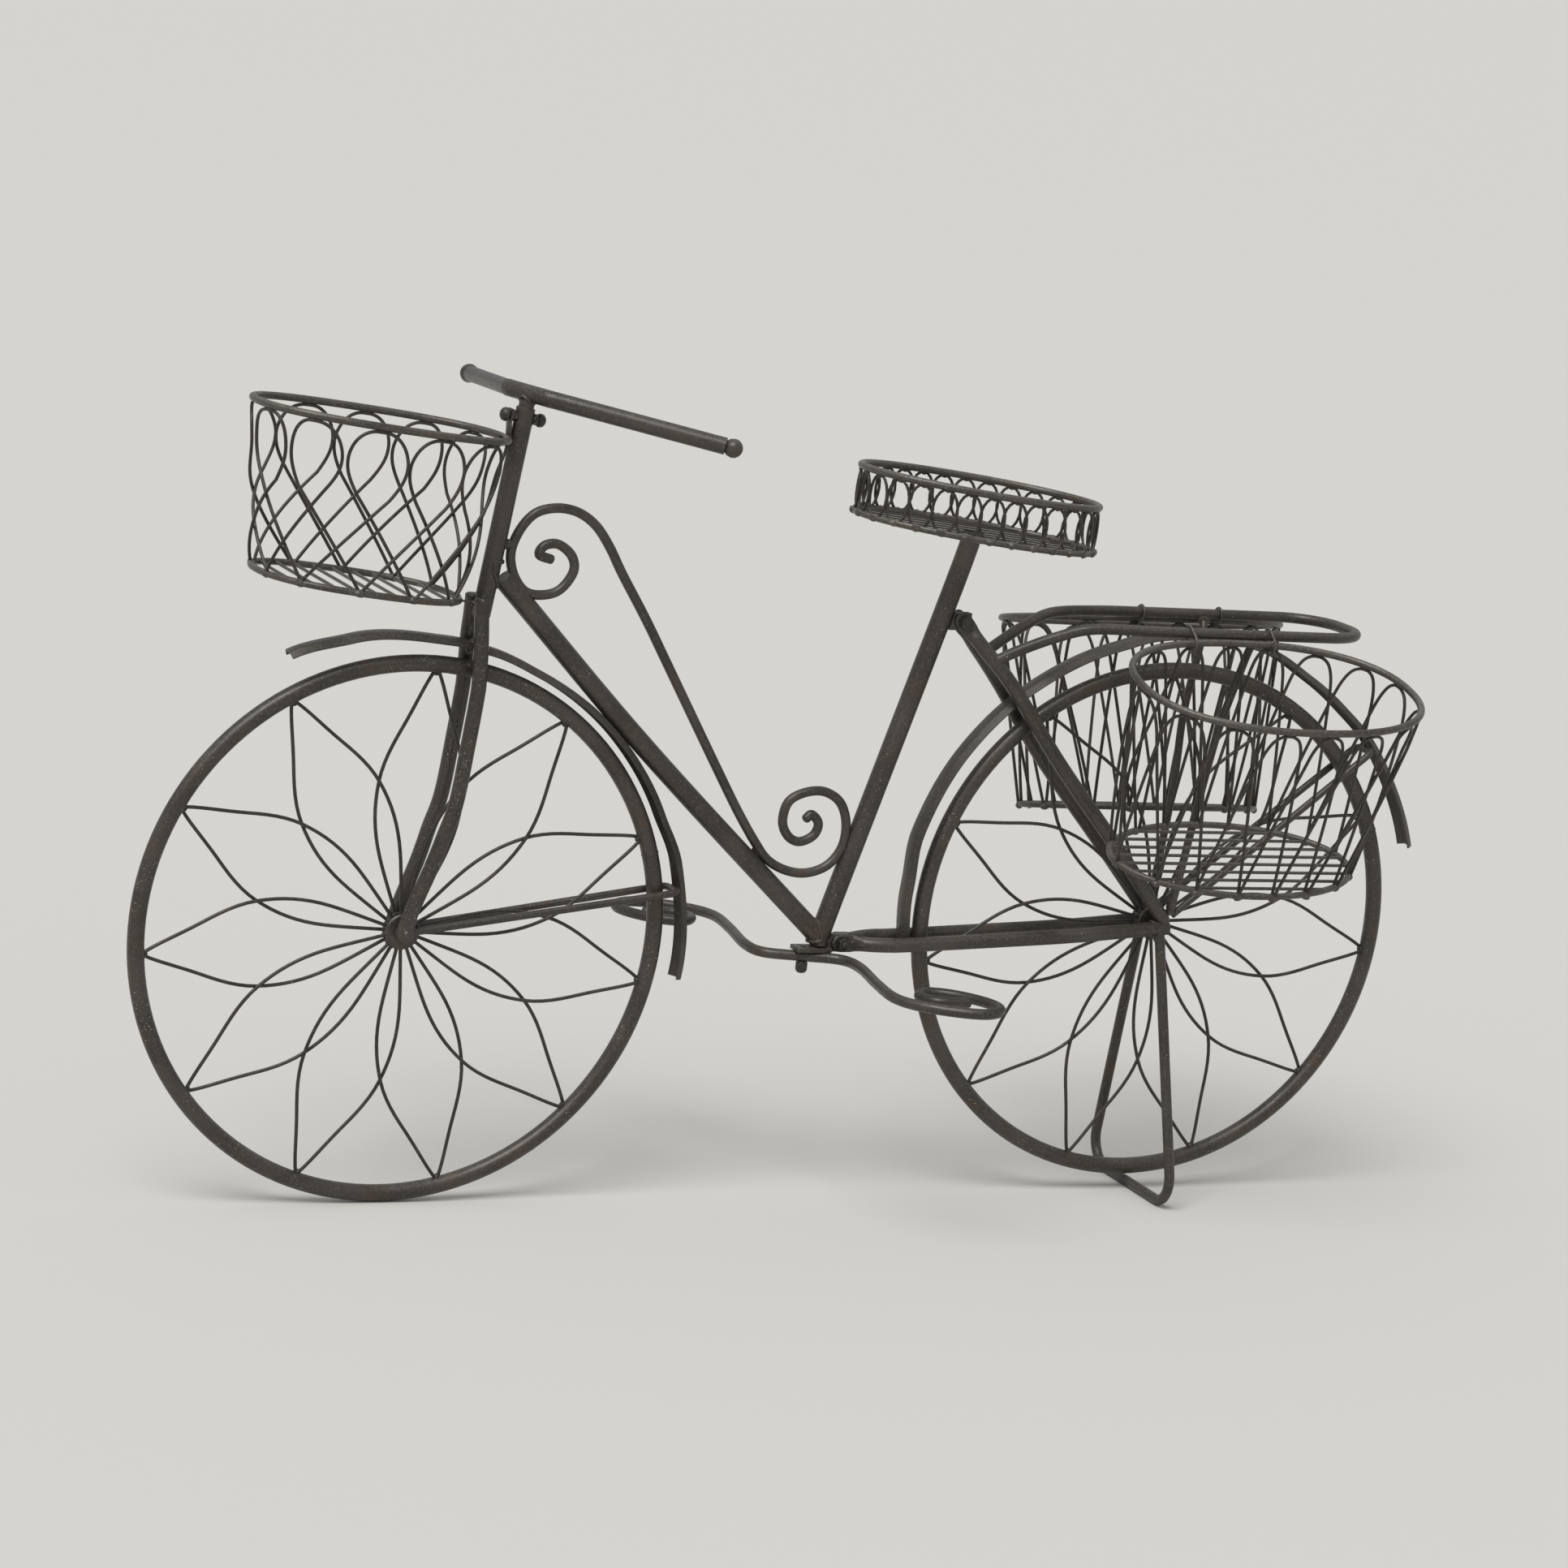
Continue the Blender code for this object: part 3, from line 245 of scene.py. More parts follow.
def showPiece(name, shape, finish, body, nodes=(), sharp=38):
    bmesh.ops.remove_doubles(shape, verts=shape.verts, dist=closeUp)
    bmesh.ops.recalc_face_normals(shape, faces=shape.faces)
    mesh = bpy.data.meshes.new(name)
    shape.to_mesh(mesh)
    shape.free()
    mesh.shade_smooth()
    mesh.set_sharp_from_angle(angle=math.radians(sharp))
    mesh.materials.append(finish)
    piece = bpy.data.objects.new(name, mesh)
    bpy.context.scene.collection.objects.link(piece)
    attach(piece, body)
    if nodes:
        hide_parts(*nodes)
    return piece


def showFastener(name, shape, node):
    showPiece(name, shape, boltPaint, "frame", [node])


# Finishes
def fromHex(text):  # sRGB hex to the linear colour that a shader takes
    parts = [int(text[at:at + 2], 16) / 255 for at in (1, 3, 5)]
    return (*[p / 12.92 if p <= 0.04045 else ((p + 0.055) / 1.055) ** 2.4 for p in parts], 1)


def addNode(tree, kind, settings=None, links=None):
    made = tree.nodes.new(kind)
    for name, value in (settings or {}).items():
        if isinstance(name, int) or name in made.inputs:
            made.inputs[name].default_value = value
        else:
            setattr(made, name, value)
    for name, source in (links or {}).items():
        tree.links.new(source, made.inputs[name])
    return made


def paintedSteel(name, look):
    # Brushed-on dark bronze paint: a satin film with brown patches, a pale colour on upward faces that
    # is partly dust and partly a painted highlight, and light specks that are partly chips and partly
    # painted glints
    made = bpy.data.materials.new(name)
    made.use_nodes = True
    tree = made.node_tree
    surface = tree.nodes["Principled BSDF"]
    where = addNode(tree, "ShaderNodeTexCoord")

    def pattern(size, detail, roughness=0.55):
        return addNode(
            tree, "ShaderNodeTexNoise",
            {"Scale": 1000 / size, "Detail": detail, "Roughness": roughness},
            {"Vector": where.outputs["Object"]},
        ).outputs["Fac"]

    def window(source, low, high, top=1.0):  # rises from 0 to top between low and high
        return addNode(
            tree, "ShaderNodeMapRange",
            {"From Min": low, "From Max": high, "To Max": top, "interpolation_type": "SMOOTHSTEP"},
            {"Value": source},
        ).outputs["Result"]

    def blend(share, first, second):
        mix = addNode(tree, "ShaderNodeMix", {"data_type": "RGBA"})
        tree.links.new(share, mix.inputs[0])
        for slot, colour in ((6, first), (7, second)):
            if isinstance(colour, str):
                mix.inputs[slot].default_value = fromHex(colour)
            else:
                tree.links.new(colour, mix.inputs[slot])
        return mix.outputs[2]

    def times(first, second):
        return addNode(
            tree, "ShaderNodeMath", {"operation": "MULTIPLY"}, {0: first, 1: second}
        ).outputs[0]

    cloudy = window(pattern(look["cloudSize"], 4), *look["cloudRange"])
    colour = blend(cloudy, look["shade"], look["paint"])
    streaks = window(pattern(look["grainSize"], 3), *look["grainRange"])
    colour = blend(streaks, colour, look["light"])
    rusty = window(pattern(look["rustSize"], 5, 0.65), *look["rustRange"], look["rustAmount"])
    colour = blend(rusty, colour, look["rust"])
    # Upward faces turn paler: partly dust, partly a painted highlight where light falls on the tops
    upward = addNode(tree, "ShaderNodeSeparateXYZ", None, {0: where.outputs["Normal"]})
    facing = window(upward.outputs["Z"], *look["dustSlope"])
    dustAndSheenMask = times(facing, window(pattern(look["dustSize"], 5, 0.7), *look["dustRange"]))
    patches = window(pattern(look["cloudSize"] * 1.7, 2), *look["dustPatches"], look["dustAndSheenAmount"])
    dustAndSheenMask = times(dustAndSheenMask, patches)
    colour = blend(dustAndSheenMask, colour, look["dustAndSheenColour"])
    # Light specks: partly paint chips, partly painted glints
    chipAndGlintMask = times(
        window(pattern(look["chipSize"], 3, 0.6), look["chipAndGlintFrom"], look["chipAndGlintFrom"] + look["chipEdge"]),
        window(pattern(look["cloudSize"] * 0.8, 3), *look["chipPatches"]),
    )
    colour = blend(chipAndGlintMask, colour, look["chipAndGlintColour"])
    tree.links.new(colour, surface.inputs["Base Color"])

    rough = addNode(
        tree, "ShaderNodeMapRange",
        {"From Min": 0.3, "From Max": 0.7, "To Min": look["smoothest"], "To Max": look["roughest"]},
        {"Value": pattern(look["grainSize"] * 2, 3)},
    )
    tree.links.new(rough.outputs["Result"], surface.inputs["Roughness"])
    bump = addNode(
        tree, "ShaderNodeBump", {"Strength": look["bump"], "Distance": look["bumpDepth"]},
        {"Height": pattern(look["bumpSize"], 4, 0.6)},
    )
    tree.links.new(bump.outputs["Normal"], surface.inputs["Normal"])
    surface.inputs["Metallic"].default_value = look["metallic"]
    surface.inputs["IOR"].default_value = look["bending"]
    return made


paintLook = {  # sizes of patterns in millimetres; ranges are the part of a pattern that counts
    "shade": "#37332e", "paint": "#45403a", "light": "#57514a",
    # the pale top colour is partly dust and partly a painted highlight; the light specks are partly
    # chips and partly painted glints
    "rust": "#54402f", "dustAndSheenColour": "#7f7a71", "chipAndGlintColour": "#c4c0b6",
    "cloudSize": 70, "grainSize": 3, "rustSize": 40, "dustSize": 2.5, "chipSize": 1.8,
    "rustAmount": 0.3, "dustAndSheenAmount": 0.45, "chipAndGlintFrom": 0.69,
    "cloudRange": (0.36, 0.66), "grainRange": (0.45, 0.72, 0.6), "rustRange": (0.52, 0.7),
    "dustSlope": (0.05, 0.95), "dustRange": (0.3, 0.7), "dustPatches": (0.3, 0.6),
    "chipEdge": 0.02, "chipPatches": (0.5, 0.56),
    "smoothest": 0.3, "roughest": 0.44, "bumpSize": 1.2, "bump": 0.12, "bumpDepth": 0.0006,
    "metallic": 0.2, "bending": 1.5,
}
bronzePaint = paintedSteel("bronze_painted_tube", paintLook)
# Wheels, fork and stand have lost more paint; their extra light specks are partly chips and partly
# painted glints
wornPaint = paintedSteel(
    "worn_bronze_paint", {**paintLook, "chipAndGlintFrom": 0.66, "rustAmount": 0.5, "dustAndSheenAmount": 0.45}
)
# Basket rods were dipped, so their film is lighter and browner, and their tops get more of the pale
# colour, partly dust and partly a painted highlight
rimPaint = paintedSteel(
    "basket_rod_paint",
    {
        **paintLook, "shade": "#403b36", "paint": "#4f4a44", "light": "#69635b", "dustAndSheenColour": "#8d8981",
        "dustAndSheenAmount": 0.7,
    },
)
# Thin wire holds less paint and shows a darker, tighter grain
wirePaint = paintedSteel(
    "wire_paint",
    {
        **paintLook, "shade": "#2b2722", "paint": "#383330", "light": "#4a443d",
        "cloudSize": 40, "rustSize": 20, "bumpSize": 0.8,
    },
)
# Bolts and nuts are blackened under the paint
boltPaint = paintedSteel(
    "bolt_paint",
    {
        **paintLook, "shade": "#2b2825", "paint": "#3c3834", "light": "#575049",
        "grainSize": 2, "bumpSize": 0.8, "metallic": 0.3,
    },
)
print("finishes made")


# Camera, light and floor
def standCamera():
    view = {
        "place": Vector((-2.5487, -4.5926, 1.4384)), "lens": 109.78, "film": 36,
        "heading": math.radians(24.257), "down": math.radians(11.005), "roll": math.radians(6.053),
    }
    ahead = Vector((
        math.sin(view["heading"]) * math.cos(view["down"]),
        math.cos(view["heading"]) * math.cos(view["down"]),
        -math.sin(view["down"]),
    ))
    level = Vector((math.cos(view["heading"]), -math.sin(view["heading"]), 0))
    upright = level.cross(ahead)
    right = level * math.cos(view["roll"]) + upright * math.sin(view["roll"])
    up = upright * math.cos(view["roll"]) - level * math.sin(view["roll"])
    data = bpy.data.cameras.new("photo_camera")
    data.lens = view["lens"]
    data.sensor_width = view["film"]
    camera = bpy.data.objects.new("photo_camera", data)
    turn = Matrix((right, up, -ahead)).transposed().to_4x4()
    camera.matrix_world = Matrix.Translation(view["place"]) @ turn
    bpy.context.scene.collection.objects.link(camera)
    bpy.context.scene.camera = camera


def lightStudio():
    light = {
        "sky": 0.47,
        # name: strength, spread, turn about X, Y and Z
        "sky_light": (1.72, 34, (22, -24, 0)),
        "fill_light": (0.26, 110, (62, 0, -50)),
    }
    scene = bpy.context.scene
    world = bpy.data.worlds.new("studio")
    world.use_nodes = True
    background = world.node_tree.nodes["Background"]
    background.inputs["Color"].default_value = fromHex("#f7f8fa")
    background.inputs["Strength"].default_value = light["sky"]
    scene.world = world
    for name in ("sky_light", "fill_light"):
        strength, spread, turn = light[name]
        data = bpy.data.lights.new(name, "SUN")
        data.energy = strength
        data.angle = math.radians(spread)
        lamp = bpy.data.objects.new(name, data)
        lamp.rotation_euler = [math.radians(angle) for angle in turn]
        scene.collection.objects.link(lamp)
    scene.view_settings.view_transform = "Standard"


def layFloor():
    ground = {"halfSize": 400, "colour": "#dddad4", "below": 0.0004, "rough": 0.9, "shine": 0.1}
    shape = bmesh.new()
    bmesh.ops.create_grid(
        shape, x_segments=1, y_segments=1, size=ground["halfSize"],
        matrix=Matrix.Translation((0, 0, -ground["below"])),
    )
    mesh = bpy.data.meshes.new("floor")
    shape.to_mesh(mesh)
    shape.free()
    made = bpy.data.materials.new("pale_floor")
    made.use_nodes = True
    surface = made.node_tree.nodes["Principled BSDF"]
    surface.inputs["Base Color"].default_value = fromHex(ground["colour"])
    surface.inputs["Roughness"].default_value = ground["rough"]
    surface.inputs["Specular IOR Level"].default_value = ground["shine"]
    mesh.materials.append(made)
    floor = bpy.data.objects.new("floor", mesh)
    bpy.context.scene.collection.objects.link(floor)


standCamera()
lightStudio()
layFloor()
print("camera, light and floor set")


# Routes of the frame
# Shares of the wheelbase, along it from its middle and up from the front axle
headTopShare = (-0.4046, 0.6285)
headFootShare = (-0.4369, 0.3794)
downTubeShares = [(-0.414, 0.427), (-0.2145, 0.229), (0.042, -0.005)]
seatTubeShares = [(0.041, -0.013), (0.0548, 0.04), (0.1725, 0.4397), (0.1905, 0.51)]
scrollShares = [
    (-0.356, 0.451), (-0.371, 0.456), (-0.365, 0.467), (-0.348, 0.469), (-0.33, 0.456),
    (-0.326, 0.437), (-0.341, 0.415), (-0.363, 0.408), (-0.385, 0.412), (-0.401, 0.432),
    (-0.4065, 0.458), (-0.3975, 0.485), (-0.38, 0.505), (-0.354, 0.512), (-0.327, 0.508),
    (-0.303, 0.493), (-0.283, 0.468), (-0.264, 0.437), (-0.2285, 0.384), (-0.1992, 0.337),
    (-0.171, 0.2915), (-0.1385, 0.239), (-0.1055, 0.186), (-0.0815, 0.1485), (-0.057, 0.114),
    (-0.038, 0.092), (-0.012, 0.079), (0.016, 0.076), (0.043, 0.086), (0.06, 0.109),
    (0.062, 0.139), (0.051, 0.165), (0.028, 0.178), (0.002, 0.176), (-0.018, 0.164),
    (-0.023, 0.14), (-0.014, 0.122), (0.002, 0.115), (0.02, 0.123), (0.025, 0.138),
    (0.015, 0.149), (0.008, 0.144),
]
chainBolt = boxCentre("chainstay_nut") * Vector((1, 0, 1))
seatBolt = boxCentre("seatstay_nut") * Vector((1, 0, 1))

# Each row: share along, share up, share of the widest half width
forkShares = [
    (-0.4425, 0.405, 0.64), (-0.4422, 0.38, 0.72), (-0.4417, 0.352, 0.915), (-0.4408, 0.307, 1),
    (-0.4418, 0.285, 1), (-0.4468, 0.235, 1), (-0.4553, 0.162, 1), (-0.4672, 0.12, 1),
]
chainstayShares = [
    (0.091, -0.0102, 0.5), (0.107, -0.0096, 0.8), (0.127, -0.009, 0.99), (0.155, -0.0082, 1),
    (0.2828, -0.0012, 1.02), (0.3869, 0.0052, 1), (0.4932, 0.0147, 0.98), (0.5115, 0.0158, 0.98),
]
seatStayShares = [
    (0.2149, 0.3643, 0.46), (0.2364, 0.3416, 0.67), (0.266, 0.307, 0.83), (0.3303, 0.224, 1),
    (0.4253, 0.1176, 0.98), (0.4932, 0.0385, 0.85), (0.505, 0.023, 0.81),
]
railFrontShares = [
    (0.2319, 0.3507, 0.28), (0.2545, 0.3643, 0.38), (0.2964, 0.3852, 0.58), (0.3394, 0.3998, 0.78),
]
railSideShares = [(0.41, 0.402, 0.96), (0.47, 0.402, 1)]
strutShares = [
    (0.5611, 0.398, 0.97), (0.5577, 0.38, 0.84), (0.5486, 0.336, 0.75), (0.5362, 0.2749, 0.65),
    (0.5283, 0.1878, 0.49), (0.5158, 0.0781, 0.41), (0.511, 0.034, 0.35),
]

rods = {  # radii and half widths of the tubes and rods, in metres
    "head": 0.01, "tube": 0.011, "fork": 0.008, "stay": 0.008, "scroll": 0.0052,
    "stand": 0.0058, "rail": 0.006, "strut": 0.0045, "fenderRod": 0.004,
    "forkHalf": 0.0235, "chainHalf": 0.0215, "seatHalf": 0.026, "railHalf": 0.064,
    "dropoutHalf": 0.021,
}
railHeight = spot(railSideShares[0]).z
headTop = spot(headTopShare)
headFoot = spot(headFootShare)
headWay = (headTop - headFoot).normalized()
headForward = Vector((-headWay.z, 0, headWay.x))
seatTubePath = smoothPath([spot(share) for share in seatTubeShares], 6)
downTubePath = smoothPath([spot(share) for share in downTubeShares], 10)
scrollPath = smoothPath([spot(share) for share in scrollShares], 5)


def fork():
    tip = {
        "halfThick": 0.0035, "halfWide": 0.0095, "side": 0.0195, "pressed": 0.03,
        "crownShares": (0, 0.06, 0.2, 0.45, 0.8), "crownSwells": (0.3, 0.6, 0.82, 0.95),
        "bendShare": (-0.4785, 0.0815), "weld": 0.0042, "weldLean": 0.42,
        "weldShares": (0.1, 0.32, 0.55, 0.78), "weldLength": 24,
        "rivet": [(0, 0.0026), (0.0028, 0.0021), (0.0048, 0.0009), (0.0055, 0), (0, 0)],
    }

    def domed(index, place):
        return tip["crownSwells"][index] if index < len(tip["crownSwells"]) else 1

    for name, flip in (("right", False), ("left", True)):
        keys = [
            *sidePath(forkShares, rods["forkHalf"]),
            spot(tip["bendShare"], (rods["forkHalf"] + tip["side"]) / 2),
            frontAxle + Vector((0, tip["side"], 2 * rods["fork"])),
            frontAxle + Vector((0, tip["side"], -rods["fork"])),
        ]
        keys = mirrored(keys) if flip else keys
        route = smoothPath(keys, 8)
        shape = bmesh.new()
        # Each blade's top is ground round before it is welded on
        crown = [route[0].lerp(route[1], share) for share in tip["crownShares"]]
        addRods(shape, [[*crown, *route[1:]]], rods["fork"], 20, False, domed)
        pressEnd(shape, route[::-1], tip["pressed"], tip["halfThick"], tip["halfWide"], rods["fork"])
        out = yAxis * (-1 if flip else 1)
        # The axle's end is peened over like a rivet
        face = keys[-2] * Vector((1, 1, 0)) + zAxis * frontAxle.z + out * tip["halfThick"]
        addTurned(shape, tip["rivet"], face, out, 24)
        for share in tip["weldShares"]:
            at = route[int(share * tip["weldLength"])]
            along = headWay * (at - headFoot).dot(headWay) + headFoot
            addWeld(shape, at.lerp(along, tip["weldLean"]), tip["weld"], headWay, 2.2)
        showPiece(name + "ForkBlade", shape, wornPaint, "frame", [name + "_fork_blade"])


def pressEnd(shape, route, length, halfThick, halfWide, radius):
    # Flattens a rod's first stretch across the bicycle and rounds its end, as a press does
    end = route[0]
    way = (route[3] - route[0]).normalized()
    across = way.cross(yAxis).normalized()
    for point in shape.verts:
        offset = point.co - end
        along = offset.dot(way)
        if along > length or offset.length > 2 * length:
            continue
        ease = min(1, max(0, (length - along) / (0.4 * length)))
        ease = ease * ease * (3 - 2 * ease)
        curved = min(1, max(0, (along + 0.0001) / halfWide))
        roundEnd = math.sqrt(1 - (1 - curved) ** 2)
        wide = 1 + ease * (halfWide / radius - 1)
        thick = 1 + ease * (halfThick / radius - 1)
        side = offset.dot(across)
        point.co += across * (side * (wide * roundEnd - 1)) + yAxis * (offset.y * (thick - 1))


def headAndTubes():
    lip = {
        "bore": 0.0087, "depth": 0.081, "rounding": 0.0006, "foot": 0.002, "edge": 0.0004,
        "mouth": 0.0005,
    }
    bead = {"down": 0.0024, "low": 0.0022, "seat": 0.0022, "seatRadius": 0.5, "seatDrop": 0.0015}
    seatTrim = 0.0008
    peg = {"end": spot((-0.4055, 0.466)), "radius": 0.0044, "weld": 0.0052, "sunk": 0.001}
    scrollEnd = [(rods["scroll"], 0), (0.0045, 0.0022), (0.0026, 0.0034), (0, 0.0038)]
    shape = bmesh.new()
    length = (headTop - headFoot).length
    radius = rods["head"]
    addTurned(
        shape,
        [
            (0, 0), (radius - lip["foot"], 0), (radius, lip["foot"]), (radius, length - lip["rounding"]),
            (radius - lip["rounding"], length), (lip["bore"] + lip["edge"], length),
            (lip["bore"], length - lip["mouth"]), (lip["bore"], length - lip["depth"]),
            (0, length - lip["depth"]),
        ],
        headFoot, headWay, 56,
    )
    showPiece("headTube", shape, bronzePaint, "frame", ["head_tube"])

    shape = bmesh.new()
    addRods(shape, [downTubePath], rods["tube"], 32)
    way = (downTubePath[0] - downTubePath[1]).normalized()
    addSeam(shape, downTubePath[4], way, rods["tube"], headTop, headWay, rods["head"], bead["down"])
    lowWay = (downTubePath[-1] - downTubePath[-2]).normalized()
    seatWay = (seatTubePath[8] - seatTubePath[2]).normalized()
    addSeam(
        shape, downTubePath[-6], lowWay, rods["tube"], seatTubePath[4], seatWay, rods["tube"],
        bead["low"],
    )
    trimLevel(shape, plateTop(), -1)
    showPiece("downTube", shape, bronzePaint, "frame", ["down_tube"])

    shape = bmesh.new()
    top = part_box("seat_tube")[1]
    addRods(shape, [seatTubePath], rods["tube"], 32)
    # A ring of weld under the saddle basket, whose base counts as a very wide tube
    base = Vector((top.x, 0, top.z + bead["seatRadius"] - bead["seatDrop"]))
    addSeam(
        shape, seatTubePath[-3], (seatTubePath[-1] - seatTubePath[-3]).normalized(), rods["tube"],
        base, yAxis, bead["seatRadius"], bead["seat"],
    )
    trimLevel(shape, plateTop(), -1)
    trimLevel(shape, top.z - seatTrim, 1)
    showPiece("seatTube", shape, bronzePaint, "frame", ["seat_tube"])

    shape = bmesh.new()
    addRods(shape, [scrollPath], rods["scroll"], 18)
    addRodEnds(shape, scrollPath, scrollEnd)
    upper, lower = scrollPath[:45], scrollPath[90:]
    level = headFoot + headWay * (peg["end"] - headFoot).dot(headWay)
    start = level - headForward * (rods["head"] - peg["sunk"])
    addRods(shape, [[start, start.lerp(peg["end"], 0.5), peg["end"]]], peg["radius"], 14)
    for end in (start, start.lerp(peg["end"], 0.55)):
        addWeld(shape, end, peg["weld"], headWay, 1.15)
    addTouchWeld(shape, upper, rods["scroll"], downTubePath, rods["tube"])
    addTouchWeld(shape, lower, rods["scroll"], downTubePath, rods["tube"])
    addTouchWeld(shape, lower, rods["scroll"], seatTubePath, rods["tube"])
    showPiece("scrollBar", shape, bronzePaint, "frame", ["scroll_bar"])


def plateTop():  # the bottom lug's plate lies just under the tubes' feet
    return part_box("seat_tube")[0].z


def trimLevel(shape, height, side):  # cuts a tube off level, below or above, and closes it
    cut = bmesh.ops.bisect_plane(
        shape, geom=shape.verts[:] + shape.edges[:] + shape.faces[:],
        plane_co=(0, 0, height), plane_no=(0, 0, side), clear_outer=True,
    )
    edges = [item for item in cut["geom_cut"] if isinstance(item, bmesh.types.BMEdge)]
    bmesh.ops.edgeloop_fill(shape, edges=edges)


def lugs():
    edge = {"angle": math.radians(60), "width": 0.0007}
    for node in ("bottom_lug", "seat_stay_lug"):
        shape = nodeShape(node)
        hard = [side for side in shape.edges if side.calc_face_angle(0) > edge["angle"]]
        bevelEdges(shape, hard, edge["width"])
        showPiece(node.split("_")[0] + "Lug", shape, bronzePaint, "frame", [node])


def stayBolts():
    bolt = {
        "radius": 0.0075, "height": 0.0053, "washer": 0.0088, "washerThick": 0.0011, "shank": 0.004,
        "head": 0.0065, "past": 0.0085, "tip": 0.0024, "taper": 0.0012, "point": 0.0016, "sunk": 0.0001,
    }
    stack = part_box("chainstay_bolt")[1].y - bolt["head"]
    end = -(stack + bolt["past"])
    washer = [
        (0, 0), (bolt["washer"], 0), (bolt["washer"], bolt["washerThick"]), (0, bolt["washerThick"]),
    ]
    shank = [
        (0, end - bolt["point"]), (bolt["tip"], end - bolt["taper"]), (bolt["shank"], end),
        (bolt["shank"], stack),
    ]
    for name, centre in (("chainstay", chainBolt), ("seatstay", seatBolt)):
        for part, way in (("Bolt", yAxis), ("Nut", -yAxis)):
            shape = bmesh.new()
            face = centre + way * stack
            addTurned(shape, washer, face - way * bolt["sunk"], way, 28)
            addHexagon(shape, face + way * bolt["washerThick"], way, bolt["radius"], bolt["height"])
            if part == "Bolt":
                addTurned(shape, shank, centre, yAxis, 24)
            showFastener(name + part, shape, f"{name}_{part.lower()}")


def stays():
    tab = {
        "side": 0.0075, "reach": 0.012, "pressed": 0.034, "halfThick": 0.0022, "halfWide": 0.0096,
        "bead": 0.002,
    }
    chainKeys = [
        chainBolt + Vector((-tab["reach"], tab["side"], 0)),
        chainBolt + Vector((tab["reach"], tab["side"], 0)),
        *sidePath(chainstayShares, rods["chainHalf"]),
    ]
    way = (spot(seatStayShares[0][:2]) - seatBolt).normalized()
    seatKeys = [
        seatBolt + yAxis * tab["side"] - way * tab["reach"],
        seatBolt + yAxis * tab["side"] + way * tab["reach"],
        *sidePath(seatStayShares, rods["seatHalf"]),
    ]
    for side in ("left", "right"):
        for name, keys in (("chainstay", chainKeys), ("seatstay", seatKeys)):
            route = smoothPath(mirrored(keys) if side == "left" else keys, 9)
            shape = bmesh.new()
            addRods(shape, [route], rods["stay"], 22)
            pressEnd(shape, route, tab["pressed"], tab["halfThick"], tab["halfWide"], rods["stay"])
            if name == "seatstay":
                end = route[-1]
                addSeam(
                    shape, route[-20], (end - route[-12]).normalized(), rods["stay"],
                    Vector((end.x, end.y, spot(chainstayShares[-2][:2]).z)), xAxis,
                    rods["stay"], tab["bead"],
                )
            showPiece(side + name.title(), shape, bronzePaint, "frame", [side + "_" + name])
    return chainKeys, seatKeys


def carrier(seatKeys):
    bend = {"overhang": 0.2, "corner": 0.052, "weld": 0.0062, "weldLean": 0.45}
    side = sidePath(railSideShares, rods["railHalf"])
    backX = rearAxle.x + bend["overhang"]
    corner = Vector((backX, rods["railHalf"], railHeight))
    middle = Vector((backX, 0, railHeight))
    front = smoothPath([*sidePath(railFrontShares, rods["railHalf"]), *side], 8)
    half = [*front, *roundedCorner(side[-1], corner, middle, bend["corner"])]
    route = [*half, *mirrored(half)[::-1]]
    shape = bmesh.new()
    addRods(shape, [route], rods["rail"], 20)
    for flip in (False, True):
        stay = smoothPath(mirrored(seatKeys) if flip else seatKeys, 9)
        start = route[-1] if flip else route[0]
        near = min(stay, key=lambda place: (place - start).length)
        addWeld(shape, start.lerp(near, bend["weldLean"]), bend["weld"], start - near, 1.2)
    showPiece("carrierRail", shape, bronzePaint, "frame", ["carrier_rail"])
    for name in ("left", "right"):
        keys = sidePath(strutShares, rods["railHalf"])
        route = smoothPath(mirrored(keys) if name == "left" else keys, 6)
        shape = bmesh.new()
        addRods(shape, [route], rods["strut"], 16)
        addWeld(shape, route[1], bend["weld"], xAxis, 1.3)
        addWeld(shape, route[-3], bend["weld"], route[-1] - route[-3], 1.5)
        showPiece(name + "Strut", shape, bronzePaint, "frame", [name + "_strut"])


def kickStand(chainKeys):
    leg = {"halfWidth": 0.1, "bend": 0.03, "flat": 0.0005, "weld": 0.0075, "weldDrop": 0.0085}
    height = rods["stand"] - leg["flat"]
    top = Vector((rearAxle.x, rods["dropoutHalf"], chainKeys[-1].z))
    corner = Vector((0, leg["halfWidth"], height))
    middle = Vector((0, 0, height))
    half = [top, *roundedCorner(top, corner, middle, leg["bend"]), middle]
    route = [*half, *mirrored(half)[-2::-1]]
    shape = bmesh.new()
    addRods(shape, [route], rods["stand"], 20)
    for point in shape.verts:  # worn flat where it stands
        point.co.z = max(point.co.z, 0)
    for side in (1, -1):
        place = top * Vector((1, side, 1)) - zAxis * leg["weldDrop"]
        addWeld(shape, place, leg["weld"], headWay, 1.2)
    showPiece("kickStand", shape, wornPaint, "frame", ["kickstand"])


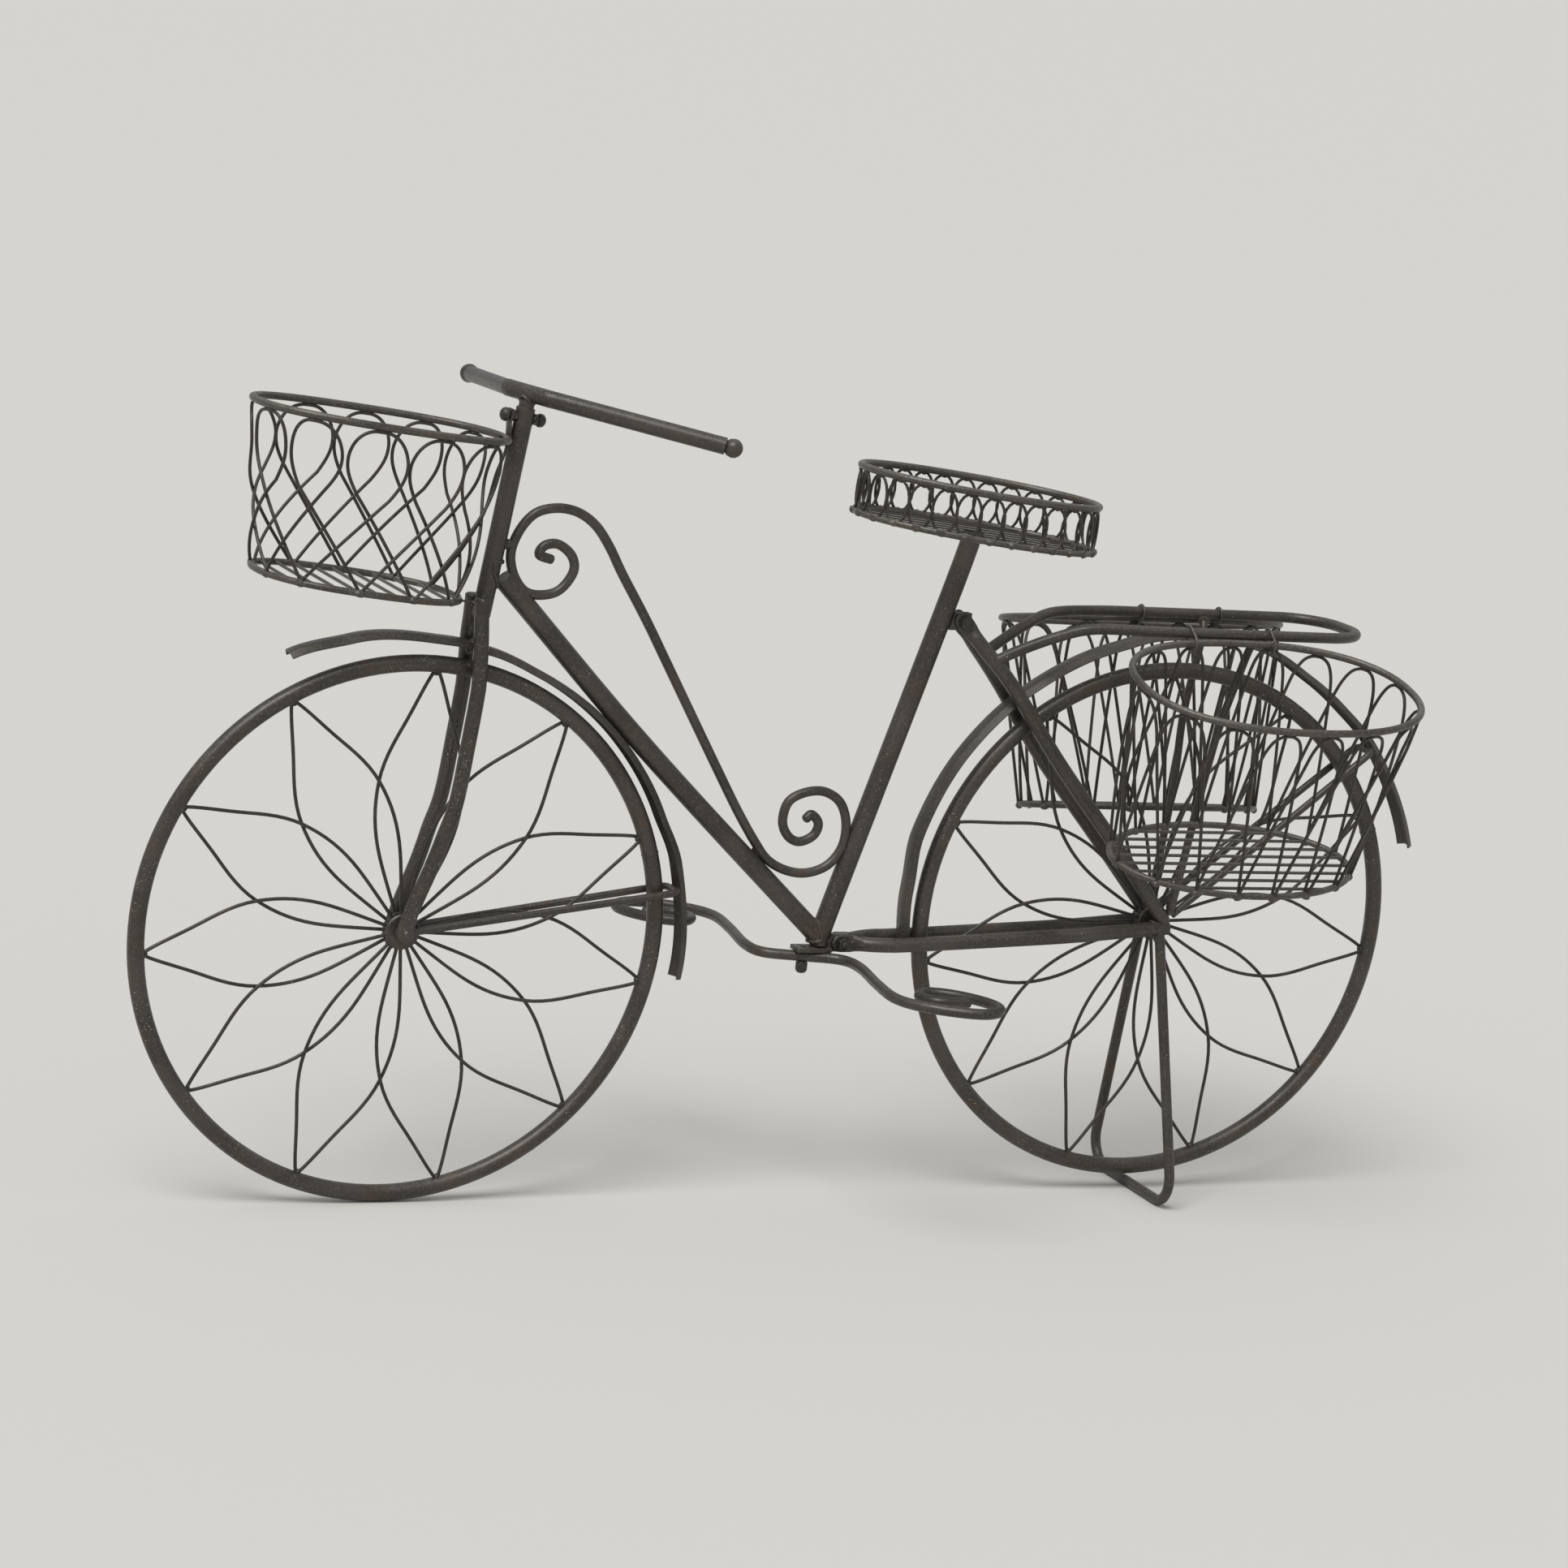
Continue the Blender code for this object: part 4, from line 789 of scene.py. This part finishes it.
def wheel(name, axle):
    body = name + "_wheel"
    size = {
        "firstNode": {"front": math.radians(-11), "rear": math.radians(-6.5)}, "seamTurn": 0.5,
        "rim": 0.285, "rimTube": 0.009, "hub": 0.019, "hubHalf": 0.007, "bore": 0.0054,
        "wire": 0.0019, "nodes": 11, "seam": 0.0007, "chamfer": 0.0015, "sunk": 0.001,
        "tipWeld": 0.0034, "tipDrop": 0.0012, "crossWeld": 0.0021, "crossShare": 0.56,
        "hubWeld": 0.0026, "hubTurn": 0.75, "hubSunk": 0.0002,
    }
    shape = bmesh.new()
    circle = [polar(axle, size["rim"], math.tau * step / 144) for step in range(144)]
    addRods(shape, [circle], size["rimTube"], 24, True)
    firstNode = size["firstNode"][name]
    seam = polar(axle, size["rim"], firstNode + size["seamTurn"])
    outwards = polar(axle, 1, firstNode + size["seamTurn"]) - axle
    ring = [
        seam + outwards * (math.cos(turn) * size["rimTube"]) + yAxis * (math.sin(turn) * size["rimTube"])
        for turn in (math.tau * step / 24 for step in range(24))
    ]
    addRods(shape, [ring], size["seam"], 6, True)  # the weld that closes the rim, ground nearly flush
    showPiece(name + "Rim", shape, wornPaint, body, [name + "_rim"])

    shape = bmesh.new()
    half, radius, bore, chamfer = size["hubHalf"], size["hub"], size["bore"], size["chamfer"]
    addTurned(
        shape,
        [
            (bore, -half), (radius - chamfer, -half), (radius, -half + chamfer),
            (radius, half - chamfer), (radius - chamfer, half), (bore, half), (bore, -half),
        ],
        axle, yAxis, 48,
    )
    showPiece(name + "Hub", shape, bronzePaint, body, [name + "_hub"])

    shape = bmesh.new()
    inner, outer = size["hub"] - size["sunk"], size["rim"] - size["rimTube"] + size["sunk"]
    spacing = math.tau / size["nodes"]
    spokeShares = [(1, 0.012), (0.8, 0.19), (0.56, 0.5), (0.3, 0.71), (0, 0.75)]
    keys = smoothPath([Vector(share) for share in spokeShares], 7)
    routes = []
    for node in range(size["nodes"]):
        start = firstNode + node * spacing
        for way in (-1, 1):
            lean = way * size["wire"] * 0.9
            routes.append([
                polar(axle, inner + key.x * (outer - inner), start + way * key.y * spacing, lean)
                for key in keys
            ])
        addWeld(shape, polar(axle, outer - size["tipDrop"], start), size["tipWeld"], yAxis, 1.15)
        cross = polar(axle, inner + size["crossShare"] * (outer - inner), start + spacing / 2)
        addWeld(shape, cross, size["crossWeld"], yAxis)
        for way in (-size["hubTurn"], size["hubTurn"]):
            place = polar(axle, size["hub"] - size["hubSunk"], start + way * spacing)
            addWeld(shape, place, size["hubWeld"], yAxis)
    addRods(shape, routes, size["wire"], 10)
    showPiece(name + "Spokes", shape, wirePaint, body, [name + "_spokes"])


def axles():
    size = {"radius": 0.005, "front": 0.0157, "rear": 0.0127}
    for name, axle in (("front", frontAxle), ("rear", rearAxle)):
        half, radius = size[name], size["radius"]
        shape = bmesh.new()
        addTurned(shape, [(0, -half), (radius, -half), (radius, half), (0, half)], axle, yAxis, 24)
        showFastener(name + "Axle", shape, name + "_axle")


def shareAt(shares, angle):  # reads a table that runs down from one angle to another
    for (first, start), (last, end) in zip(shares, shares[1:]):
        if first >= angle >= last:
            t = (first - angle) / (first - last)
            return start + (end - start) * t * t * (3 - 2 * t)
    return shares[-1][1]


def fender(name, axle, shares):
    # A shallow channel of sheet: crown, two folded sides and a small turned-in lip
    plate = {
        # how far below the crown and how far from the middle, from the edge inwards
        "half": [(0.007, 0.013), (0.0006, 0.0081), (0, 0.0063), (-0.0002, 0)],
        "thick": 0.002, "steps": 90, "edge": 0.0005, "edgeAngle": 35,
    }

    def section(angle):
        out = fenderRadius[name] * shareAt(shares, angle)
        turn = math.radians(angle)
        half = plate["half"]
        places = [polar(axle, out - drop, turn, -side) for drop, side in half]
        return [*places, *[polar(axle, out - drop, turn, side) for drop, side in half[-2::-1]]]

    first, last = shares[0][0], shares[-1][0]
    angles = [first + (last - first) * step / plate["steps"] for step in range(plate["steps"] + 1)]
    shape = bmesh.new()
    addSheet(shape, [section(angle) for angle in angles])
    shape.faces.ensure_lookup_table()
    face = shape.faces[len(shape.faces) // 2]
    if face.normal.dot(face.calc_center_median() - axle) < 0:
        bmesh.ops.reverse_faces(shape, faces=shape.faces)
    bmesh.ops.solidify(shape, geom=shape.faces[:], thickness=plate["thick"])
    piece = showPiece(name + "Fender", shape, bronzePaint, "frame", [name + "_fender"], sharp=30)
    rounding = piece.modifiers.new("edge", "BEVEL")
    rounding.width = plate["edge"]
    rounding.segments = 2
    rounding.limit_method = "ANGLE"
    rounding.angle_limit = math.radians(plate["edgeAngle"])


def fenderRods():
    stay = {
        "bend": 0.008, "below": 0.0133, "cornerHalf": 0.0173, "weld": 0.003, "weldRise": 0.0038,
        "weldSide": 0.009,
        # axle, fender's radius and table, angle, the ends' distance from the axle and half width
        "front": (frontAxle, fenderRadius["front"], frontFenderShares, 9, 0.0053, 0.0117),
        "rear": (rearAxle, fenderRadius["rear"], rearFenderShares, 39.3, 0.018, rods["dropoutHalf"]),
        "eye": [
            (0.0056, -0.0022), (0.0095, -0.0022), (0.0102, -0.0012), (0.0102, 0.0012),
            (0.0095, 0.0022), (0.0056, 0.0022), (0.0056, -0.0022),
        ],
    }
    for name in ("front", "rear"):
        axle, radius, shares, angle, start, side = stay[name]
        low = radius * shareAt(shares, angle) - stay["below"]
        turn = math.radians(angle)
        foot = polar(axle, start, turn, side)
        corner = polar(axle, low, turn, stay["cornerHalf"])
        half = [foot, *roundedCorner(foot, corner, polar(axle, low, turn), stay["bend"], 8)]
        shape = bmesh.new()
        addRods(shape, [[*half, *mirrored(half)[::-1]]], rods["fenderRod"], 16)
        for flip in (1, -1):
            place = polar(axle, low + stay["weldRise"], turn, flip * stay["weldSide"])
            addWeld(shape, place, stay["weld"], yAxis, 1.6)
            if name == "front":  # the rod's eye round the axle, between hub and fork tip
                addTurned(shape, stay["eye"], axle + yAxis * (side * flip), yAxis, 28)
        showPiece(name + "FenderRod", shape, bronzePaint, "frame", [name + "_fender_rod"])


frontFenderShares = [
    (117, 1.054), (105, 1.035), (85, 1.006), (77, 0.997), (65, 0.986), (43, 0.99),
    (25, 0.994), (14, 1.013), (-9, 1.032),
]
rearFenderShares = [
    (186, 0.947), (173, 0.957), (162, 0.979), (143, 0.985), (124, 0.988), (106, 0.994),
    (96, 1.006), (70, 1.015), (60, 1.003), (50, 1.003), (40, 1.012), (33, 1.012), (16, 1.018),
]
fenderRadius = {"front": 0.313, "rear": 0.327}


def handlebar():
    bar = {
        "turn": math.radians(28.8), "rise": 0.015, "sleeveHalf": 0.027, "arm": 0.196,
        "bend": 0.022, "sweep": math.radians(53.5), "droop": math.radians(2.2),
        "tube": 0.009, "thin": 0.0084, "stem": 0.0082, "depth": 0.0795, "stemTop": 0.008,
        "pushed": 0.008, "bead": 0.0019, "dome": 0.001,
        "joint": [(0.0084, -0.002), (0.0091, -0.001), (0.009, 0.002)],
        "knob": [
            (0, -0.0099), (0.006, -0.0084), (0.0088, -0.0052), (0.0102, 0),
            (0.0094, 0.0042), (0.0068, 0.0076), (0.0034, 0.0096), (0, 0.0102),
        ],
    }
    turn = Matrix.Rotation(bar["turn"], 3, headWay)
    forward = turn @ headForward
    left = turn @ Vector((0, -1, 0))
    centre = headTop + headWay * bar["rise"]
    shape = bmesh.new()
    ends = []
    for name, side in (("left", left), ("right", -left)):
        back = side * math.sin(bar["sweep"]) - forward * math.cos(bar["sweep"])
        way = back * math.cos(bar["droop"]) - headWay * math.sin(bar["droop"])
        corner = centre + side * bar["sleeveHalf"]
        tip = corner + way * bar["arm"]
        knob = bmesh.new()
        addTurned(knob, bar["knob"], tip, way, 32)
        showPiece(name + "HandlebarCap", knob, bronzePaint, "steering", [name + "_handlebar_cap"])
        arc = roundedCorner(tip, corner, centre, bar["bend"], 10)
        ends.append([tip - (tip - arc[0]).normalized() * bar["pushed"], *arc])
    # The far arm is a thinner tube pushed into the bar
    joint, before = ends[1][3], ends[1][2]
    addRods(shape, [[*ends[0], *ends[1][:2:-1]]], bar["tube"], 28)
    addRods(shape, [ends[1][:4]], bar["thin"], 24)
    addTurned(shape, bar["joint"], joint, (joint - before).normalized(), 32)
    showPiece("handlebar", shape, bronzePaint, "steering", ["handlebar"])
    shape = bmesh.new()
    foot = headTop - headWay * bar["depth"]
    length = bar["depth"] + bar["stemTop"]
    stem = [(0, 0), (bar["stem"], 0), (bar["stem"], length), (0, length + bar["dome"])]
    addTurned(shape, stem, foot, headWay, 36)
    addSeam(shape, headTop, headWay, bar["stem"], centre, left, bar["tube"], bar["bead"])
    showPiece("handlebarStem", shape, bronzePaint, "steering", ["handlebar_stem"])


clampDrop = 0.0105  # from the head tube's top down to the clamp screws


def clampScrews():
    screw = {
        "drop": clampDrop, "nut": 0.006, "nutHeight": 0.005, "chamfer": 0.0005, "shank": 0.003,
        "gap": 0.0003, "strap": 0.0023, "weld": 0.0022, "weldShare": 0.8,
        "past": 0.004, "sunk": 0.0004,
        "head": [
            (0, 0), (0.0064, 0), (0.0072, 0.001), (0.0072, 0.0034), (0.0064, 0.0058),
            (0.004, 0.0078), (0, 0.0085),
        ],
    }
    at = headTop - headWay * screw["drop"]
    for name, way, spacer in (("front", headForward, screw["strap"]), ("rear", -headForward, 0)):
        face = at + way * (rods["head"] + screw["gap"])
        shape = bmesh.new()
        addHexagon(shape, face, way, screw["nut"], screw["nutHeight"], screw["chamfer"])
        for side in (1, -1):
            place = face + yAxis * (side * screw["nut"] * screw["weldShare"])
            addWeld(shape, place, screw["weld"], headWay, 1.4)
        showFastener(name + "ClampNut", shape, name + "_clamp_nut")
        shape = bmesh.new()
        low = face + way * (screw["nutHeight"] + spacer + screw["gap"])
        addTurned(shape, screw["head"], low, way, 28)
        shank = [(screw["shank"], -screw["past"]), (screw["shank"], screw["sunk"])]
        addTurned(shape, shank, low, way, 16)
        showFastener(name + "ClampScrew", shape, name + "_clamp_screw")


def pedals():
    bar = {
        "reach": 0.245, "rod": 0.0058, "gap": 0.0003, "bolt": 0.003, "boltLength": 0.02,
        "boltGap": 0.0006,
        "end": [(0.0058, 0), (0.005, 0.0022), (0.0028, 0.0034), (0, 0.0038)],
        "nut": [
            (0, -0.0126), (0.0036, -0.0122), (0.0058, -0.0104), (0.0065, -0.0082), (0.0065, -0.0012),
            (0.0058, 0), (0, 0),
        ],
    }
    pedalShares = [
        (0, 0), (0.159, -0.069), (0.188, -0.212), (0.143, -0.494), (0.122, -0.727),
        (0.184, -0.865), (0.327, -0.971), (0.441, -1), (0.52, -0.95), (0.54, -0.865),
        (0.502, -0.767), (0.42, -0.673), (0.318, -0.633), (0.253, -0.7), (0.3, -0.79),
        (0.433, -0.808),
    ]
    low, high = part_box("pedal_bar")
    centre = Vector(((low.x + high.x) / 2, 0, (low.z + high.z) / 2))
    half = smoothPath([Vector((share[0], share[1], 0)) * bar["reach"] for share in pedalShares], 7)
    route = [*[centre + point for point in half[::-1]], *[centre - point for point in half[1:]]]
    shape = bmesh.new()
    addRods(shape, [route], bar["rod"], 18)
    addRodEnds(shape, route, bar["end"])
    showPiece("pedalBar", shape, bronzePaint, "pedals", ["pedal_bar"])
    shape = bmesh.new()
    addTurned(shape, bar["nut"], centre - zAxis * (bar["rod"] + bar["gap"]), zAxis, 32)
    showFastener("pedalNut", shape, "pedal_nut")
    shape = bmesh.new()
    bolt = [(0, -bar["boltLength"]), (bar["bolt"], -bar["boltLength"]), (bar["bolt"], 0), (0, 0)]
    addTurned(shape, bolt, Vector((centre.x, 0, plateTop() - bar["boltGap"])), zAxis, 20)
    showFastener("pedalBolt", shape, "pedal_bolt")


# Baskets
def ovalPoints(halfLength, halfWidth, power, count=360):
    # A rounded oval as evenly spaced points
    points = []
    for step in range(count * 4):
        turn = math.tau * step / (count * 4)
        across, up = math.cos(turn), math.sin(turn)
        points.append(Vector((
            math.copysign(abs(across) ** (2 / power), across) * halfLength,
            math.copysign(abs(up) ** (2 / power), up) * halfWidth,
        )))
    lengths = [(end - start).length for start, end in zip(points, [*points[1:], points[0]])]
    total = sum(lengths)
    even = []
    run, index = 0.0, 0
    for step in range(count):
        goal = total * step / count
        while run + lengths[index] < goal:
            run += lengths[index]
            index += 1
        start, end = points[index], points[(index + 1) % len(points)]
        even.append(start.lerp(end, (goal - run) / lengths[index]))
    return even


class Basket:  # a top oval, a base oval below it, and the directions between them
    def __init__(self, centre, along, across, size):
        self.centre = centre
        self.along = along
        self.across = across
        self.size = size
        self.up = along.cross(across)
        if self.up.z < 0:
            self.up = -self.up
        self.base = centre - self.up * size["height"] + along * size["shift"]
        self.topOval = ovalPoints(size["halfLength"], size["halfWidth"], size["topPower"])
        self.baseOval = ovalPoints(size["baseLength"], size["baseWidth"], size["basePower"])

    def place(self, outline, middle, share, grow):
        count = len(outline)
        at = (share % 1.0) * count
        first = int(at) % count
        flat = outline[first].lerp(outline[(first + 1) % count], at - int(at))
        flat = flat + flat.normalized() * grow
        return middle + self.along * flat.x + self.across * flat.y

    def top(self, share, grow=0.0):
        return self.place(self.topOval, self.centre, share, grow)

    def foot(self, share, grow=0.0):
        return self.place(self.baseOval, self.base, share, grow)

    def wall(self, share, depth, grow=0.0):
        under = self.up * self.size["tuck"]
        return (self.top(share, grow) - under).lerp(self.foot(share, grow), depth)

    def ring(self, which, steps=120):
        return [which(step / steps) for step in range(steps)]

    def addKnots(self, shape, shares, where, along, weld):  # lumps of weld drawn out along a ring
        radius, stretch = weld
        for share in shares:
            addWeld(shape, where(share), radius, along(share + 0.01) - along(share), stretch)

    def showRim(self, name, body):
        shape = bmesh.new()
        addRods(shape, [self.ring(self.top)], self.size["rod"], 16, True)
        showPiece(name + "BasketRim", shape, rimPaint, body, [name + "_basket_rim"])

    def addBars(self, shape, wire, lengthwise):
        size = self.size
        routes = []
        for index in range(size["bars"]):
            share = 2 * (index + 1) / (size["bars"] + 1) - 1
            reach = (1 - abs(share) ** size["basePower"]) ** (1 / size["basePower"])
            if lengthwise:
                run = self.along * (size["baseLength"] * reach)
                middle = self.base + self.across * (size["baseWidth"] * share)
            else:
                run = self.across * (size["baseWidth"] * reach)
                middle = self.base + self.along * (size["baseLength"] * share)
            routes.append([middle - run, middle, middle + run])
        addRods(shape, routes, wire, 10)

    def showBase(self, name, body, shares, lengthwise=None):  # no bars when lengthwise is left out
        shape = bmesh.new()
        addRods(shape, [self.ring(self.foot)], self.size["rod"] * 0.9, 16, True)
        if lengthwise is not None:
            self.addBars(shape, self.size["wire"], lengthwise)
        grow, drop, *weld = self.size["footWeld"]
        self.addKnots(
            shape, shares, lambda share: self.foot(share, grow) - self.up * drop, self.foot, weld
        )
        showPiece(name + "BasketBase", shape, rimPaint, body, ())

    def showWires(self, name, body, tops, shares, bent, steps):
        wire = self.size["wire"]
        shape = bmesh.new()
        addRods(shape, wallRoutes(self, tops, shares, wire, bent, steps), wire, 10)
        depth, *weld = self.size["topWeld"]
        self.addKnots(shape, tops, lambda share: self.wall(share, depth), self.top, weld)
        showPiece(name + "BasketWires", shape, wirePaint, body, [name + "_basket_wires"])


def shareRound(tops, at):  # a share of the way round, at a wire's number or between two wires
    first = math.floor(at)
    before = tops[first % len(tops)] + first // len(tops)
    after = tops[(first + 1) % len(tops)] + (first + 1) // len(tops)
    return before + (after - before) * (at - first)


def wallRoutes(basket, tops, shares, wire, bent, steps):
    # A wire's first leg passes inside its neighbours' legs and its second one outside them
    # Below the key with the number bent, each leg runs straight down to its foot
    both = [(-offset, depth) for offset, depth in shares[::-1]] + list(shares[1:])
    keys = smoothPath([Vector(pair) for pair in both], steps)
    routes = []
    for index in range(len(tops)):
        route = []
        for step, key in enumerate(keys):
            side = -1 if 2 * step < len(keys) else 1
            lean = side * wire * min(1, 6 * max(key.y, 0))
            share = shareRound(tops, index + key.x)
            offset, depth = shares[bent]
            if key.y > depth:
                start = shareRound(tops, index + side * offset)
                foot = shareRound(tops, index + side * shares[-1][0])
                share = start + (foot - start) * (key.y - depth) / (1 - depth)
            route.append(basket.wall(share, key.y, lean))
        routes.append(route)
    return routes


teardropShares = [
    (0, 0), (0.15, 0.006), (0.29, 0.038), (0.405, 0.1), (0.465, 0.19), (0.425, 0.29), (0.255, 0.41),
    (0, 0.535), (-0.49, 0.77), (-1, 1),
]
archShares = [
    (0, 0), (0.12, 0.005), (0.25, 0.03), (0.355, 0.085), (0.43, 0.165), (0.545, 0.34), (0.77, 0.67),
    (1, 1),
]
# Where each wire's top touches the top rod, as shares of the way round from the basket's rear end
frontLoopTops = [
    0.071, 0.142, 0.232, 0.321, 0.433, 0.5454, 0.6158, 0.7146, 0.8087, 0.8954, 0.985,
]
rearArchTops = [
    0.0488, 0.1037, 0.1717, 0.2325, 0.2908, 0.3563, 0.4163, 0.4879,
    0.555, 0.6317, 0.6887, 0.7488, 0.7992, 0.8621, 0.9233, 0.9733,
]


# The welds' numbers: foot welds have a growth, a drop, a radius and a stretch,
# the ones at the top a depth down the wall, a radius and a stretch
def frontBasket():
    size = {
        "rod": 0.004, "footWeld": (0.001, 0, 0.0044, 1.4), "topWeld": (-0.004, 0.0022, 1.8),
        "halfLength": 0.1334, "halfWidth": 0.0843, "topPower": 2.4,
        "baseLength": 0.1078, "baseWidth": 0.0812, "basePower": 2.4,
        "height": 0.1697, "shift": 0.0033, "tuck": 0.0054,
        "tilt": math.radians(5.42), "reach": 0.155, "drop": 0.019,
        "bars": 9, "wire": 0.0018,
    }
    along = Vector((math.cos(size["tilt"]), 0, -math.sin(size["tilt"])))
    basket = Basket(headTop - Vector((size["reach"], 0, size["drop"])), along, yAxis, size)
    basket.showRim("front", "frame")
    basket.showBase("front", "frame", frontLoopTops, False)
    basket.showWires("front", "frame", frontLoopTops, teardropShares, 6, 6)
    return basket


def addRibbon(shape, route, halfWidth, thickness):  # a flat strip bent along a route
    strip = bmesh.new()
    addSheet(strip, [[place - yAxis * halfWidth, place + yAxis * halfWidth] for place in route])
    bmesh.ops.solidify(strip, geom=strip.faces[:], thickness=thickness)
    rim = [edge for edge in strip.edges if edge.calc_face_angle(0) > math.radians(60)]
    bevelEdges(strip, rim, thickness * 0.2)
    addShape(shape, strip)


def frontBasketFittings(basket):
    clip = {
        "halfWidth": 0.0068, "thick": 0.0018, "tabHalf": 0.005, "out": 0.0059, "above": 0.007,
        "below": 0.006, "wrap": 0.005, "curlFrom": 10, "curlStep": 28, "curls": 9,
        "weld": 0.0034, "rise": 0.0125, "gap": 0.0003, "tabOut": 0.004, "tabUp": 0.001,
        "tab": [(-0.006, -0.0046), (0, -0.0054), (0.005, -0.0034)],
    }
    at = headTop - headWay * clampDrop + headForward * (rods["head"] + clip["out"])
    rim = basket.top(0)
    keys = [at + headWay * clip["above"], at, at - headWay * clip["below"]]
    for step in range(clip["curls"]):  # the strap's foot curls round the rim rod
        keys.append(polar(rim, clip["wrap"], math.radians(clip["curlFrom"] - clip["curlStep"] * step)))
    shape = bmesh.new()
    addRibbon(shape, smoothPath(keys, 3), clip["halfWidth"], clip["thick"])
    showPiece("frontBasketStrap", shape, bronzePaint, "frame", ["front_basket_strap"])
    head = headFoot + headWay * clip["rise"]
    keys = [
        *[basket.foot(0) + Vector((along, 0, up)) for along, up in clip["tab"]],
        head + headForward * (rods["head"] + clip["tabOut"]) + headWay * clip["tabUp"],
        head + headForward * (rods["head"] - clip["gap"]),
    ]
    shape = bmesh.new()
    addRibbon(shape, smoothPath(keys, 4), clip["tabHalf"], clip["thick"])
    addWeld(shape, head + headForward * (rods["head"] + clip["gap"]), clip["weld"], yAxis, 1.4)
    showPiece("frontBasketTab", shape, rimPaint, "frame", ["front_basket_tab"])


def saddleBasket():
    size = {
        "halfLength": 0.1374, "halfWidth": 0.092, "topPower": 2.05,
        "baseLength": 0.1374, "baseWidth": 0.092, "basePower": 2.05,
        "height": 0.0493, "shift": 0.0025, "tuck": 0.003,
        "tilt": math.radians(5.8), "advance": 0.0021, "drop": 0.0026, "loops": 28, "bars": 7,
        "wire": 0.0016, "barWire": 0.0011, "loopShare": 0.53, "loopSteps": 20,
        "rod": 0.004, "footWeld": (0.002, 0, 0.0044, 1.3),
        "loopWeld": (0.0024, 1.7), "weldDepths": (0.02, 0.97), "lean": 0.9,
    }
    along = Vector((math.cos(size["tilt"]), 0, -math.sin(size["tilt"])))
    up = Vector((math.sin(size["tilt"]), 0, math.cos(size["tilt"])))
    seat = spot(seatTubeShares[-1]) - Vector((size["advance"], 0, size["drop"]))
    basket = Basket(seat + up * size["height"], along, yAxis, size)
    basket.showRim("saddle", "frame")
    middles = [index / size["loops"] for index in range(size["loops"])]
    basket.showBase("saddle", "frame", middles)
    shape = bmesh.new()
    basket.addBars(shape, size["barWire"], True)
    routes = []
    for middle in middles:
        route = []
        for step in range(size["loopSteps"]):
            turn = math.tau * step / size["loopSteps"]
            offset = size["loopShare"] * math.sin(turn) / size["loops"]
            lean = size["wire"] * size["lean"] * math.sin(turn)
            route.append(basket.wall(middle + offset, (1 - math.cos(turn)) / 2, lean))
        routes.append(route)
    addRods(shape, routes, size["wire"], 10, True)
    for depth in size["weldDepths"]:
        basket.addKnots(
            shape, middles, lambda share: basket.wall(share, depth), basket.top, size["loopWeld"]
        )
    showPiece("saddleBasketWires", shape, wirePaint, "frame", ["saddle_basket_wires"])


def rearBasket(name):
    size = {
        # side, tilt, place behind the rear axle, turn of the arches round the rim
        "left": (-1, math.radians(15.3), 0.0232, 0), "right": (1, math.radians(11.5), 0.0381, -0.009),
        "halfLength": 0.1655, "halfWidth": 0.108, "topPower": 2.3,
        "baseLength": 0.1443, "baseWidth": 0.0824, "basePower": 2,
        "height": 0.2113, "shift": 0, "tuck": 0.0054,
        "bars": 8, "wire": 0.0018, "hang": 0.0106, "hangAngle": math.radians(39),
        "hanger": 0.0014, "gap": 0.0003, "arches": {"front": 10, "rear": 12},
        "rod": 0.004, "footWeld": (0.001, 0.0018, 0.0042, 1.3), "topWeld": (-0.003, 0.0022, 1.8),
    }
    side, tilt, setback, arcTurn = size[name]
    tops = [share + arcTurn for share in rearArchTops]
    outwards = Vector((0, side * math.cos(tilt), -math.sin(tilt)))
    railAt = Vector((rearAxle.x + setback, side * rods["railHalf"], railHeight))
    hang = Vector((0, side * math.sin(size["hangAngle"]), -math.cos(size["hangAngle"]))) * size["hang"]
    basket = Basket(railAt + hang + outwards * size["halfWidth"], xAxis, outwards, size)
    body = name + "_basket"
    basket.showRim(name, body)
    basket.showBase(name, body, tops, True)
    basket.showWires(name, body, tops, archShares, 4, 5)

    # Two wire links hang it on the rail, each at the top of an arch
    slack = size["gap"] + size["hanger"]
    for place, arch in size["arches"].items():
        rimAt = basket.top(tops[arch])
        rail = Vector((rimAt.x, side * rods["railHalf"], railHeight))
        down = (rimAt - rail).normalized()
        across = down.cross(xAxis)
        loop = []
        for centre, way, reach in (
            (rail, -1, rods["rail"] + slack),
            (rimAt, 1, size["rod"] + 2 * (size["wire"] + size["gap"]) + slack),
        ):
            for step in range(17):
                turn = way * (math.pi / 2 - math.pi * step / 16)
                run = down * (way * reach * math.cos(turn))
                loop.append(centre + run + across * (reach * math.sin(turn)))
        shape = bmesh.new()
        addRods(shape, [loop], size["hanger"], 10, True)
        showPiece(
            name + place.title() + "Hanger", shape, rimPaint, body, [f"{name}_{place}_hanger"],
        )


headAndTubes()
fork()
lugs()
chainKeys, seatKeys = stays()
stayBolts()
carrier(seatKeys)
kickStand(chainKeys)
axles()
print("frame built")
wheel("front", frontAxle)
wheel("rear", rearAxle)
fender("front", frontAxle, frontFenderShares)
fender("rear", rearAxle, rearFenderShares)
fenderRods()
print("wheels and fenders built")
handlebar()
clampScrews()
pedals()
print("handlebar and pedals built")
frontBasketFittings(frontBasket())
saddleBasket()
rearBasket("left")
rearBasket("right")
print("baskets built")
